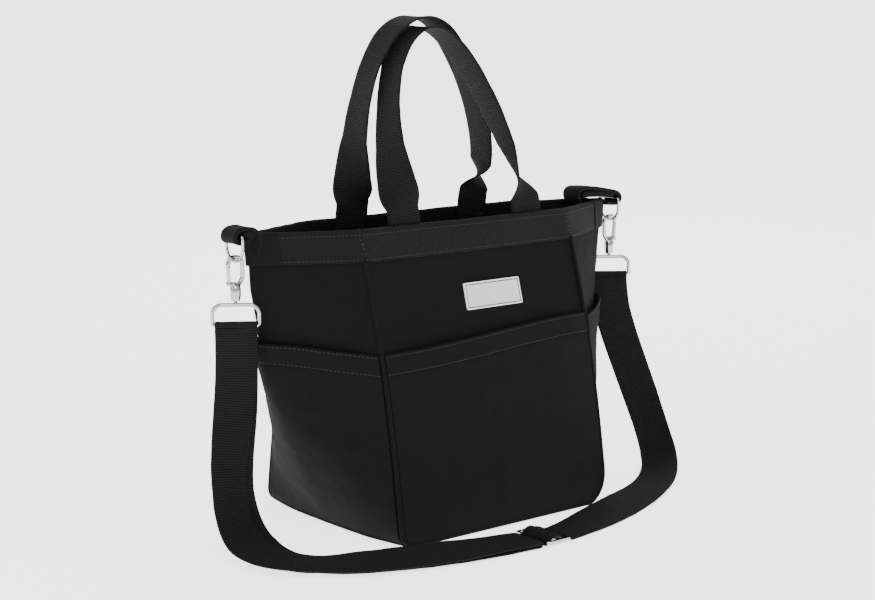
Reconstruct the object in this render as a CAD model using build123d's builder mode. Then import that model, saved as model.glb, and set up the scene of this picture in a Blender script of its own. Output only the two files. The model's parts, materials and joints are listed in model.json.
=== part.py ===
"""Open-topped garden tool bag with outer pockets, two webbing handles and a clip-on shoulder strap.

Millimetres. +X to the bag's right, -Y to its front, +Z up, origin in the middle of the base, on the ground.
"""
import os
from math import cos, hypot, pi, radians, sin, tan

from build123d import *

os.makedirs("parts", exist_ok=True)

# Bag body: a rectangular base under a long narrow mouth, whose two ends fold outwards
BASE_WIDTH = 270.0
BASE_DEPTH = 224.0
RIM_HEIGHT = 302.0
RIM_LENGTH = 468.0
MOUTH_GAP = 92.0
PANEL_BULGE = 8.0
FOLD_BULGE = 22.0
BASE_CREASE = 2.0
SHELL = 2.4
LINING = 1.0
LAYER_GAP = 0.3
BASE_PANEL = 2.4
BASE_CORNER = 14.0
BOARD = 3.0
BOARD_MARGIN = 6.0

# Outer pockets, rim binding and seam piping
POCKET_HEIGHT = 200.0
POCKET_BOTTOM = 9.0
POCKET = 1.6
POCKET_SEAT = 0.5
POCKET_MOUTH = 8.0
SIDE_POCKET_MOUTH = 6.5
POCKET_INSET = 5.0
BAND_HEIGHT = 30.0
TIP_COVER = 20.0
PIPING_R = 2.5
PIPING_CORNER = 8.0

# Label plate
PLATE_LENGTH = 73.0
PLATE_HEIGHT = 27.0
PLATE = 1.6
PLATE_CORNER = 2.0
PLATE_BORDER = 2.2
PLATE_RECESS = 0.4
PLATE_X = 16.0
PLATE_Z = 228.0

# Webbing of the handles and the shoulder strap
WEBBING_WIDTH = 40.0
WEBBING = 1.4

# Handles: each leg is sewn inside the mouth and turns over the rim at the pivot
HANDLE_TAIL = 38.0
PIVOT_RISE = 2.0
HANDLE_PARTING = 3.0
# Across the bag, up from the pivot, and how far the webbing's face has turned from facing forward
FRONT_HANDLE = [
    (-76, 0, 0), (-76, 13, 0), (-79, 38, 55), (-82, 74, 84), (-78, 112, 96), (-68, 148, 98), (-50, 178, 92),
    (-23, 192, 90), (6, 180, 90), (30, 150, 92), (51, 112, 96), (69, 68, 104), (80, 32, 130), (85, 13, 180), (85, 0, 180),
]
BACK_HANDLE = [
    (-79, 0, 0), (-79, 13, 0), (-82, 38, 60), (-85, 78, 90), (-83, 118, 98), (-75, 156, 98), (-56, 188, 92),
    (-24, 202, 90), (9, 189, 90), (37, 157, 90), (61, 121, 94), (79, 82, 96), (88, 44, 98), (81, 16, 180), (81, 0, 180),
]

# Strap hardware at the two pointed ends of the mouth
RING_OUT = 13.0
RING_WIRE_R = 1.5
RING_HALF_WIDTH = 13.5
RING_DROP = 24.5
RING_FILLET = 3.0
TAB_WIDTH = 23.0
TAB = 4.0
TAB_WRAP_R = 5.0
TAB_INNER_X = 190.0
TAB_TAIL = 26.0
RUN_CLEARANCE = 0.3
HOOK_WIRE_R = 2.2
HOOK_HALF_WIDTH = 8.0
HOOK_LENGTH = 41.5
BARREL_HEIGHT = 15.0
BARREL_R = 5.2
BARREL_NECK_R = 4.0
BARREL_FLOOR = 3.0
CAVITY_R = 3.5
CAVITY_HEIGHT = 5.5
STUD_R = 1.7
STUD_CLEARANCE = 0.08
STUD_HEAD_R = 3.0
STUD_HEAD = 2.0
GATE_THICKNESS = 2.2
GATE_WIDTH = 3.6
GATE_PIN_R = 0.8
LOOP_WIRE_R = 2.0
LOOP_WIDTH = 48.0
LOOP_HEIGHT = 24.0
LOOP_CORNER = 3.0
SWIVEL_GAP = 2.0

# Slider on the shoulder strap, lying on the ground in front of the bag
SLIDER_X = -10.0
SLIDER_Y = -174.0
SLIDER_Z = 5.0
SLIDER_LENGTH = 30.0
SLIDER_WIDTH = 50.0
SLIDER = 3.0
SLIDER_RIM = 3.5
SLIDER_BAR = 4.0

# Shoulder strap routes: a point, and the direction across the webbing, towards the bag on the left run and
# away from it on the right one
STRAP_LEFT = [
    ((-247, 0, 214), (0.80, -0.60, 0.0)), ((-247.5, -1, 178), (0.84, -0.54, 0.0)),
    ((-253, -4, 142), (0.93, -0.36, 0.05)), ((-261, -7, 108), (0.95, -0.10, 0.20)),
    ((-267, -10, 76), (0.93, 0.10, 0.28)), ((-270, -18, 44), (0.90, 0.25, 0.33)),
    ((-272, -38, 20), (0.82, 0.42, 0.35)), ((-271, -66, 11), (0.80, 0.55, 0.22)),
    ((-260, -94, 8), (0.75, 0.65, 0.10)), ((-237, -120, 7), (0.62, 0.78, 0.05)),
    ((-206, -140, 8), (0.52, 0.83, 0.18)), ((-164, -156, 8), (0.36, 0.90, 0.20)),
    ((-118, -168, 8), (0.22, 0.95, 0.18)), ((-72, -174, 6.5), (0.08, 0.98, 0.08)), ((-28, -174, 4.3), (0.0, 1.0, 0.0)),
]
# How far apart the doubled strap's two layers lie, and how far the back one is drawn towards the bag
LEFT_SPACING = [6.2, 4.8, 4.0, 4.0, 4.0, 4.0, 4.0, 4.0, 3.6, 3.6, 3.6, 3.6, 3.6, 3.6, 3.6]
LEFT_DRIFT = [0, 0, 3, 8, 12, 13, 12, 10, 8, 6, 5, 4, 2, 0, 0]
STRAP_RIGHT = [
    ((247, 0, 214), (0.80, -0.60, 0.0)), ((249, -1, 184), (0.78, -0.62, 0.0)), ((259, -4, 152), (0.72, -0.68, -0.12)),
    ((271, -8, 119), (0.68, -0.72, -0.18)), ((281, -15, 86), (0.60, -0.80, -0.15)),
    ((286, -27, 53), (0.40, -0.90, -0.05)), ((281, -46, 25), (0.25, -0.95, 0.0)), ((263, -70, 11), (0.40, -0.88, -0.05)),
    ((234, -94, 6), (0.50, -0.85, -0.06)), ((198, -117, 6), (0.45, -0.88, -0.08)),
    ((158, -137, 7), (0.30, -0.92, -0.18)), ((114, -153, 7), (0.12, -0.94, -0.26)), ((70, -165, 6), (0.0, -0.95, -0.2)),
    ((36, -172, 4), (0.0, -0.99, -0.08)), ((8, -174, 2.5), (0.0, -1.0, 0.0)),
]
RIGHT_SPACING = [6.2, 2.0] + [0] * 13
SEWN_END = [6.2, 5.4, 4.8]
STRAP_SAMPLES = 4

HALF_BASE = BASE_WIDTH / 2
WALL_BOTTOM = BASE_PANEL + LAYER_GAP
BOARD_TOP = BASE_PANEL + LAYER_GAP + BOARD
LINING_OUT = SHELL + LAYER_GAP
LINING_IN = LINING_OUT + LINING
BAND_OUT = 0.4
BAND_BOTTOM = RIM_HEIGHT - BAND_HEIGHT
LEVELS = [0.0, 0.2, 0.43, 0.66, 0.86, 1.0]

pieces = []


def finish(builder, name):
    """Label a finished piece and write its file."""
    builder.part.label = name
    export_step(builder.part, f"parts/{name}.step")
    pieces.append(name)


def half_depth(z):
    """Half the bag's depth at its four seams."""
    t = z / RIM_HEIGHT
    return (BASE_DEPTH + (MOUTH_GAP - BASE_DEPTH) * t) / 2 + PANEL_BULGE * sin(pi * t)


def half_fold(z):
    """Half the bag's length at the middle folds of its two end walls."""
    t = z / RIM_HEIGHT
    return HALF_BASE + BASE_CREASE + (RIM_LENGTH / 2 - HALF_BASE - BASE_CREASE) * t + FOLD_BULGE * sin(pi * t)


def slant(z):
    """Length of half an end wall in plan, from its middle fold to a seam."""
    return hypot(half_fold(z) - HALF_BASE, half_depth(z))


def end_point(z, along, out):
    """A point on an end wall in plan, given along it from the fold, and out from its face."""
    run = half_fold(z) - HALF_BASE
    depth = half_depth(z)
    length = slant(z)
    x = half_fold(z) - run / length * along + depth / length * out
    y = depth / length * along + run / length * out
    return x, y


def fold_x(z, out):
    """Where the two offset faces of an end wall meet, above its middle fold."""
    return half_fold(z) + out * slant(z) / half_depth(z)


def seam_x(z, out):
    """Where an offset front wall and an offset end wall meet."""
    return HALF_BASE + out * (slant(z) - half_fold(z) + HALF_BASE) / half_depth(z)


def end_outline(z, side, inner, outer, setback):
    """The bent strip of an end wall in plan, stopped short of both seams."""
    reach = half_depth(z) - setback

    def edge(out):
        along = (reach - (half_fold(z) - HALF_BASE) / slant(z) * out) / half_depth(z) * slant(z)
        x = end_point(z, along, out)[0]
        return [(side * x, -reach), (side * fold_x(z, out), 0.0), (side * x, reach)]

    return edge(outer) + edge(inner)[::-1]


def face_outline(z, side, inner, outer, half_width):
    """The strip of a front or back wall in plan."""
    near = side * (half_depth(z) + inner)
    far = side * (half_depth(z) + outer)
    return [(-half_width, near), (half_width, near), (half_width, far), (-half_width, far)]


def ring_outline(z, out):
    """The whole bag in plan, offset outwards."""
    x = seam_x(z, out)
    y = half_depth(z) + out
    tip = fold_x(z, out)
    return [(-tip, 0), (-x, -y), (x, -y), (tip, 0), (x, y), (-x, y)]


def heights(low, high):
    """Section heights between two levels, thinned so that no two nearly coincide."""
    between = [t * RIM_HEIGHT for t in LEVELS if low + 6 < t * RIM_HEIGHT < high - 6]
    return [low] + between + [high]


def wall(outline, levels, name, hollow=None, hollow_levels=()):
    """A thin wall lofted through its closed outlines, or a tub when a hollow is taken out of it."""
    with BuildPart() as piece:
        for z in levels:
            with BuildSketch(Plane.XY.offset(z)):
                with BuildLine():
                    Polyline(*outline(z), close=True)
                make_face()
        loft(ruled=True)
        for z in hollow_levels:
            with BuildSketch(Plane.XY.offset(z)):
                with BuildLine():
                    Polyline(*hollow(z), close=True)
                make_face()
        if hollow:
            loft(ruled=True, mode=Mode.SUBTRACT)
    finish(piece, name)


# Bag body
with BuildPart() as base_panel:
    with BuildSketch():
        RectangleRounded(BASE_WIDTH - 1, BASE_DEPTH - 1, BASE_CORNER)
    extrude(amount=BASE_PANEL)
finish(base_panel, "base_panel")

with BuildPart() as base_board:
    with BuildSketch(Plane.XY.offset(BASE_PANEL + LAYER_GAP)):
        RectangleRounded(BASE_WIDTH - 2 * BOARD_MARGIN, BASE_DEPTH - 2 * BOARD_MARGIN, BASE_CORNER)
    extrude(amount=BOARD)
finish(base_board, "base_board")

for side, name in ((-1, "front"), (1, "back")):
    wall(
        lambda z: face_outline(z, side, -SHELL, 0, HALF_BASE),
        heights(WALL_BOTTOM, RIM_HEIGHT),
        f"{name}_panel",
    )
for side, name in ((-1, "left"), (1, "right")):
    wall(
        lambda z: end_outline(z, side, -SHELL, 0, SHELL + LAYER_GAP),
        heights(WALL_BOTTOM, RIM_HEIGHT),
        f"{name}_gusset",
    )

FLOOR = BOARD_TOP + LAYER_GAP
wall(
    lambda z: ring_outline(z, -LINING_OUT),
    heights(FLOOR, RIM_HEIGHT - LINING),
    "lining",
    hollow=lambda z: ring_outline(z, -LINING_IN),
    hollow_levels=heights(FLOOR + LINING, RIM_HEIGHT - LINING),
)


# Outer pockets, which stand away from the walls towards their mouths
def pocket_stand(z, mouth):
    return POCKET_SEAT + (mouth - POCKET_SEAT) * z / POCKET_HEIGHT


def pocket_faces(z, mouth):
    stand = pocket_stand(z, mouth)
    return stand, stand + POCKET


for side, name in ((-1, "front"), (1, "back")):
    wall(
        lambda z: face_outline(z, side, *pocket_faces(z, POCKET_MOUTH), HALF_BASE - POCKET_INSET),
        heights(POCKET_BOTTOM, POCKET_HEIGHT),
        f"{name}_pocket",
    )
for side, name in ((-1, "left"), (1, "right")):
    wall(
        lambda z: end_outline(z, side, *pocket_faces(z, SIDE_POCKET_MOUTH), POCKET_INSET),
        heights(POCKET_BOTTOM, POCKET_HEIGHT),
        f"{name}_pocket",
    )


# Rim binding along the front and the back, and the covers over the mouth's two tips
def band_outline(z, side):
    inner, outer = BAND_OUT, BAND_OUT + WEBBING

    def edge(out):
        tip_x, tip_y = end_point(z, TIP_COVER, out)
        corner_x, corner_y = seam_x(z, out), half_depth(z) + out
        return [(-tip_x, side * tip_y), (-corner_x, side * corner_y), (corner_x, side * corner_y), (tip_x, side * tip_y)]

    return edge(outer) + edge(inner)[::-1]


def tip_outline(z, side):
    inner, outer = BAND_OUT, BAND_OUT + WEBBING

    def edge(out):
        x, y = end_point(z, TIP_COVER - LAYER_GAP, out)
        return [(side * x, -y), (side * fold_x(z, out), 0), (side * x, y)]

    return edge(outer) + edge(inner)[::-1]


for side, name in ((-1, "front"), (1, "back")):
    wall(lambda z: band_outline(z, side), [BAND_BOTTOM, RIM_HEIGHT], f"{name}_rim_band")
for side, name in ((-1, "left"), (1, "right")):
    wall(lambda z: tip_outline(z, side), [BAND_BOTTOM, RIM_HEIGHT], f"{name}_tip_cover")

# Piping down each pair of seams and across the base, and along the two short base edges
PIPING_OUT = PIPING_R + LAYER_GAP
for side, name in ((-1, "front"), (1, "back")):
    down = [BAND_BOTTOM - LAYER_GAP] + [t * RIM_HEIGHT for t in reversed(LEVELS[1:-2])]
    leg = [(-HALF_BASE - 0.8, side * (half_depth(z) + PIPING_OUT), z) for z in down]
    foot = (-HALF_BASE - 0.8, side * (half_depth(0) + PIPING_OUT), PIPING_OUT)
    route = leg + [foot]
    route += [(-x, y, z) for x, y, z in reversed(route)]
    rounding = [60.0] * (len(leg) - 1)
    with BuildPart() as piping:
        with BuildLine() as seam:
            FilletPolyline(*route, radius=rounding + [PIPING_CORNER, PIPING_CORNER] + rounding)
        with BuildSketch(Plane(origin=seam.line @ 0, z_dir=seam.line % 0)):
            Circle(PIPING_R)
        sweep()
    finish(piping, f"{name}_piping")

for side, name in ((-1, "left"), (1, "right")):
    edge_x = side * (half_fold(2 * PIPING_OUT) + PIPING_OUT)
    reach = half_depth(0) - PIPING_OUT
    with BuildPart() as base_piping:
        with BuildSketch(Plane(origin=(edge_x, -reach, PIPING_OUT), z_dir=(0, 1, 0))):
            Circle(PIPING_R)
        extrude(amount=2 * reach)
    finish(base_piping, f"{name}_base_piping")

# Label plate, leaning with the front wall
plate_lean = (half_depth(PLATE_Z - PLATE_HEIGHT / 2) - half_depth(PLATE_Z + PLATE_HEIGHT / 2)) / PLATE_HEIGHT
plate_plane = Plane(
    origin=(PLATE_X, -half_depth(PLATE_Z) - 2 * LAYER_GAP, PLATE_Z),
    x_dir=(1, 0, 0),
    z_dir=(0, -1, plate_lean),
)
with BuildPart() as label_plate:
    with BuildSketch(plate_plane):
        RectangleRounded(PLATE_LENGTH, PLATE_HEIGHT, PLATE_CORNER)
    extrude(amount=PLATE)
    with BuildSketch(plate_plane.offset(PLATE)):
        RectangleRounded(PLATE_LENGTH - 2 * PLATE_BORDER, PLATE_HEIGHT - 2 * PLATE_BORDER, PLATE_CORNER / 2)
    extrude(amount=-PLATE_RECESS, mode=Mode.SUBTRACT)
finish(label_plate, "label_plate")


# Webbing ribbons
def smooth_path(points):
    """The largest tangent arcs that each pair of runs allows, and their radii."""
    spots = [Vector(*p) for p in points]
    radii = []
    for before, here, after in zip(spots, spots[1:], spots[2:]):
        turn = radians((here - before).get_angle(after - here))
        radii.append(0.45 * min((here - before).length, (after - here).length) / tan(turn / 2))
    return spots, radii


def ribbon(points, across, name):
    """Flat webbing along a route, turning with the directions given across it."""
    spots, radii = smooth_path(points)
    with BuildLine() as route:
        FilletPolyline(*spots, radius=radii)
    path = route.wires()[0]
    steps = STRAP_SAMPLES * (len(points) - 1)
    planes = []
    for step in range(steps + 1):
        t = step / steps
        place = t * (len(across) - 1)
        first = min(int(place), len(across) - 2)
        part = place - first
        facing = Vector(*across[first]) * (1 - part) + Vector(*across[first + 1]) * part
        planes.append(Plane(origin=path @ t, x_dir=facing, z_dir=path % t))
    with BuildPart() as webbing:
        for plane in planes:
            with BuildSketch(plane):
                Rectangle(WEBBING_WIDTH, WEBBING)
        loft(ruled=True)
    finish(webbing, name)
    print(name, "length", round(path.length), "radii", [round(r) for r in radii])
    print("   volume over section times length", round(webbing.part.volume / (WEBBING_WIDTH * WEBBING * path.length), 3))


# Handles and their sewn ends
leg_out = LINING_IN + LAYER_GAP
leg_y = half_depth(RIM_HEIGHT) - leg_out - WEBBING / 2
for side, name, shape in ((-1, "front", FRONT_HANDLE), (1, "back", BACK_HANDLE)):
    handle_top = max(rise for _, rise, _ in shape)
    points = [
        (x, side * (leg_y + (HANDLE_PARTING - leg_y) * rise / handle_top), RIM_HEIGHT + PIVOT_RISE + rise)
        for x, rise, _ in shape
    ]
    across = [(cos(radians(turn)), -sin(radians(turn)), 0) for _, _, turn in shape]
    ribbon(points, across, f"{name}_handle")
    for end, x in (("left", shape[0][0]), ("right", shape[-1][0])):

        def tail_outline(z):
            low, high = half_depth(z) - leg_out - WEBBING, half_depth(z) - leg_out
            left, right = x - WEBBING_WIDTH / 2, x + WEBBING_WIDTH / 2
            return [(left, side * low), (right, side * low), (right, side * high), (left, side * high)]

        wall(tail_outline, [RIM_HEIGHT - HANDLE_TAIL, RIM_HEIGHT], f"{name}_handle_{end}_end")

# Ring tabs, rings and swivel snap hooks, the same at both ends
RING_X = RIM_LENGTH / 2 + RING_OUT
RING_Z = RIM_HEIGHT
RING_BOTTOM = RING_Z - RING_DROP
HOOK_TOP = RING_BOTTOM + RING_WIRE_R + RUN_CLEARANCE + HOOK_WIRE_R
HOOK_BOTTOM = HOOK_TOP - HOOK_LENGTH
LOOP_TOP = HOOK_BOTTOM - SWIVEL_GAP - LOOP_WIRE_R
LOOP_BAR = LOOP_TOP - LOOP_HEIGHT + 2 * LOOP_WIRE_R
TAB_TOP = RING_Z + TAB_WRAP_R
GATE_FOOT = (HOOK_HALF_WIDTH - 1.6, HOOK_BOTTOM + BARREL_HEIGHT + 1.5)
NOSE_Z = HOOK_TOP - 9.0

for side, name, facing in ((-1, "left", STRAP_LEFT[0][1]), (1, "right", STRAP_RIGHT[0][1])):
    ring_x = side * RING_X
    middle = Plane(origin=(ring_x, 0, 0), x_dir=(side, 0, 0), z_dir=(0, -side, 0))
    inner_x = TAB_INNER_X - RING_X

    with BuildPart() as ring_tab:
        with BuildSketch(middle):
            with BuildLine():
                Polyline(
                    (0, TAB_TOP), (inner_x, TAB_TOP), (inner_x, TAB_TOP - TAB_TAIL), (inner_x + TAB, TAB_TOP - TAB_TAIL),
                    (inner_x + TAB, TAB_TOP - TAB), (0, TAB_TOP - TAB), close=True,
                )
            make_face()
            with Locations((0, RING_Z)):
                Circle(TAB_WRAP_R)
                Circle(RING_WIRE_R + RUN_CLEARANCE, mode=Mode.SUBTRACT)
        extrude(amount=TAB_WIDTH / 2, both=True)
    finish(ring_tab, f"{name}_ring_tab")

    with BuildPart() as ring:
        with BuildLine(Plane(origin=(ring_x, 0, RING_Z), x_dir=(0, 1, 0), z_dir=(1, 0, 0))) as wire:
            half, drop = RING_HALF_WIDTH, RING_DROP - RING_HALF_WIDTH
            sides = FilletPolyline((-half, -drop), (-half, 0), (half, 0), (half, -drop), radius=RING_FILLET)
            ThreePointArc(sides @ 1, (0, -RING_DROP), sides @ 0)
        with BuildSketch(Plane(origin=wire.line @ 0, z_dir=wire.line % 0)):
            Circle(RING_WIRE_R)
        sweep()
    finish(ring, f"{name}_ring")

    with BuildPart() as hook:
        with BuildLine(middle) as bow:
            FilletPolyline(
                (-2.0, HOOK_BOTTOM + BARREL_HEIGHT - 2), (-HOOK_HALF_WIDTH, HOOK_BOTTOM + BARREL_HEIGHT + 6),
                (-HOOK_HALF_WIDTH, HOOK_TOP), (HOOK_HALF_WIDTH, HOOK_TOP), (HOOK_HALF_WIDTH, NOSE_Z),
                radius=[5.0, HOOK_HALF_WIDTH - 1, HOOK_HALF_WIDTH - 1],
            )
        with BuildSketch(Plane(origin=bow.line @ 0, z_dir=bow.line % 0)):
            Circle(HOOK_WIRE_R)
        sweep()
        with BuildSketch(middle):
            with BuildLine():
                Polyline(
                    (0, HOOK_BOTTOM), (BARREL_NECK_R, HOOK_BOTTOM), (BARREL_R, HOOK_BOTTOM + 5),
                    (BARREL_R, HOOK_BOTTOM + BARREL_HEIGHT - 3), (BARREL_NECK_R, HOOK_BOTTOM + BARREL_HEIGHT),
                    (0, HOOK_BOTTOM + BARREL_HEIGHT), close=True,
                )
            make_face()
        revolve(axis=Axis((ring_x, 0, 0), (0, 0, 1)))
        with BuildSketch(Plane(origin=(ring_x, 0, HOOK_BOTTOM))):
            Circle(STUD_R + STUD_CLEARANCE)
        extrude(amount=BARREL_FLOOR, mode=Mode.SUBTRACT)
        with BuildSketch(Plane(origin=(ring_x, 0, HOOK_BOTTOM + BARREL_FLOOR))):
            Circle(CAVITY_R)
        extrude(amount=CAVITY_HEIGHT, mode=Mode.SUBTRACT)
        with BuildSketch(middle):
            with Locations(GATE_FOOT):
                Circle(2.2)
                Rectangle(6.0, 3.0, align=(Align.MAX, Align.CENTER))
        extrude(amount=GATE_WIDTH / 2 + 1.2, both=True)
        with BuildSketch(middle):
            with Locations(GATE_FOOT):
                Circle(3.0)
        extrude(amount=GATE_WIDTH / 2 + 0.15, both=True, mode=Mode.SUBTRACT)
        with BuildSketch(middle):
            with Locations(GATE_FOOT):
                Circle(GATE_PIN_R)
        extrude(amount=GATE_WIDTH / 2 + 1.2, both=True)
    finish(hook, f"{name}_hook")

    with BuildPart() as gate:
        tip = (HOOK_HALF_WIDTH, NOSE_Z - RUN_CLEARANCE)
        with BuildSketch(middle):
            with Locations(GATE_FOOT):
                Circle(GATE_THICKNESS * 0.8)
            with BuildLine():
                Polyline(
                    (GATE_FOOT[0] - GATE_THICKNESS / 2, GATE_FOOT[1]), (GATE_FOOT[0] + GATE_THICKNESS / 2, GATE_FOOT[1]),
                    (tip[0] + GATE_THICKNESS / 2, tip[1]), (tip[0] - GATE_THICKNESS / 2, tip[1]), close=True,
                )
            make_face()
            with Locations(GATE_FOOT):
                Circle(GATE_PIN_R + 0.05, mode=Mode.SUBTRACT)
        extrude(amount=GATE_WIDTH / 2, both=True)
    finish(gate, f"{name}_gate")

    with BuildPart() as swivel:
        with BuildSketch(Plane(origin=(ring_x, 0, LOOP_TOP + LOOP_WIRE_R))):
            Circle(STUD_R)
        extrude(amount=HOOK_BOTTOM + BARREL_FLOOR + RUN_CLEARANCE + STUD_HEAD - LOOP_TOP - LOOP_WIRE_R)
        with BuildSketch(Plane(origin=(ring_x, 0, HOOK_BOTTOM + BARREL_FLOOR + RUN_CLEARANCE))):
            Circle(STUD_HEAD_R)
        extrude(amount=STUD_HEAD)
    finish(swivel, f"{name}_swivel")

    across = Vector(*facing)
    behind = across.cross(Vector(0, 0, -1))
    with BuildPart() as loop:
        half, rise = LOOP_WIDTH / 2 - LOOP_WIRE_R, (LOOP_TOP - LOOP_BAR) / 2
        upright = Plane(origin=(ring_x, 0, LOOP_BAR + rise), x_dir=across, z_dir=behind * -1)
        with BuildSketch(upright, mode=Mode.PRIVATE) as outline:
            RectangleRounded(2 * half, 2 * rise, LOOP_CORNER)
        wire = outline.sketch.face().outer_wire()
        with BuildSketch(Plane(origin=wire @ 0, z_dir=wire % 0)):
            Circle(LOOP_WIRE_R)
        sweep(path=wire)
    finish(loop, f"{name}_loop")

    fold_inner = (LEFT_SPACING[0] - WEBBING) / 2
    with BuildPart() as fold:
        with BuildSketch(Plane(origin=(ring_x, 0, LOOP_BAR), x_dir=behind, z_dir=across)):
            Circle(fold_inner + WEBBING)
            Circle(fold_inner, mode=Mode.SUBTRACT)
            Rectangle(4 * fold_inner, 4 * fold_inner, align=(Align.CENTER, Align.MAX), mode=Mode.SUBTRACT)
        extrude(amount=WEBBING_WIDTH / 2, both=True)
    finish(fold, f"strap_{name}_fold")

# Slider: a flat frame with a middle bar, and the webbing that is woven through it
with BuildPart() as slider:
    with BuildSketch(Plane.XY.offset(SLIDER_Z)):
        with Locations((SLIDER_X, SLIDER_Y)):
            RectangleRounded(SLIDER_LENGTH, SLIDER_WIDTH, 4)
            Rectangle(SLIDER_LENGTH - 2 * SLIDER_RIM, SLIDER_WIDTH - 2 * SLIDER_RIM, mode=Mode.SUBTRACT)
            Rectangle(SLIDER_BAR, SLIDER_WIDTH - 2)
    extrude(amount=SLIDER / 2, both=True)
finish(slider, "slider")

with BuildPart() as slider_webbing:
    end = SLIDER_LENGTH / 2 + 1
    low = SLIDER_Z - SLIDER / 2 - 1.0
    high = SLIDER_Z + SLIDER / 2 + 1.0
    centre = [(-end, low), (-SLIDER_LENGTH / 2 + SLIDER_RIM, low), (-SLIDER_BAR / 2 - 1, high)]
    centre += [(-x, z) for x, z in reversed(centre)]
    with BuildSketch(Plane(origin=(SLIDER_X, SLIDER_Y, 0), x_dir=(1, 0, 0), z_dir=(0, -1, 0))):
        with BuildLine():
            over = [(x, z + WEBBING / 2) for x, z in centre]
            under = [(x, z - WEBBING / 2) for x, z in reversed(centre)]
            Polyline(*over, *under, close=True)
        make_face()
    extrude(amount=WEBBING_WIDTH / 2, both=True)
finish(slider_webbing, "slider_webbing")



def layer(route, spacing, side, drift=None):
    """One layer of a doubled route: in front of it for -1, or behind it and drawn across it for 1."""
    spots = [Vector(*point) for point, _ in route]
    points = []
    for i, (spot, (_, facing)) in enumerate(zip(spots, route)):
        ahead = spots[min(i + 1, len(spots) - 1)] - spots[max(i - 1, 0)]
        behind = Vector(*facing).cross(ahead).normalized()
        across = ahead.cross(behind).normalized()
        points.append(spot + behind * side * spacing[i] / 2 + across * (drift[i] if drift else 0))
    return points


# Shoulder strap: doubled on the left, single on the right, where its end is sewn back on itself
left_facing = [facing for _, facing in STRAP_LEFT]
right_facing = [facing for _, facing in STRAP_RIGHT]
ribbon(layer(STRAP_LEFT, LEFT_SPACING, -1), left_facing, "strap_left_front")
ribbon(layer(STRAP_LEFT, LEFT_SPACING, 1, LEFT_DRIFT), left_facing, "strap_left_back")
ribbon(layer(STRAP_RIGHT, RIGHT_SPACING, -1), right_facing, "strap_right")
top, below = Vector(*STRAP_RIGHT[0][0]), Vector(*STRAP_RIGHT[1][0])
sewn = [(tuple(top + (below - top) * t), right_facing[0]) for t in (0, 0.52, 1)]
sewn[1] = (tuple(Vector(*sewn[1][0]) + Vector(0, 0, 0.5)), right_facing[0])
ribbon(layer(sewn, SEWN_END, 1), right_facing[:3], "strap_right_end")
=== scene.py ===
"""Garden tool bag: soft walls, pockets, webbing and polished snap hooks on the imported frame."""

import json
from math import atan2, cos, exp, hypot, pi, radians, sin, sqrt

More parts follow.
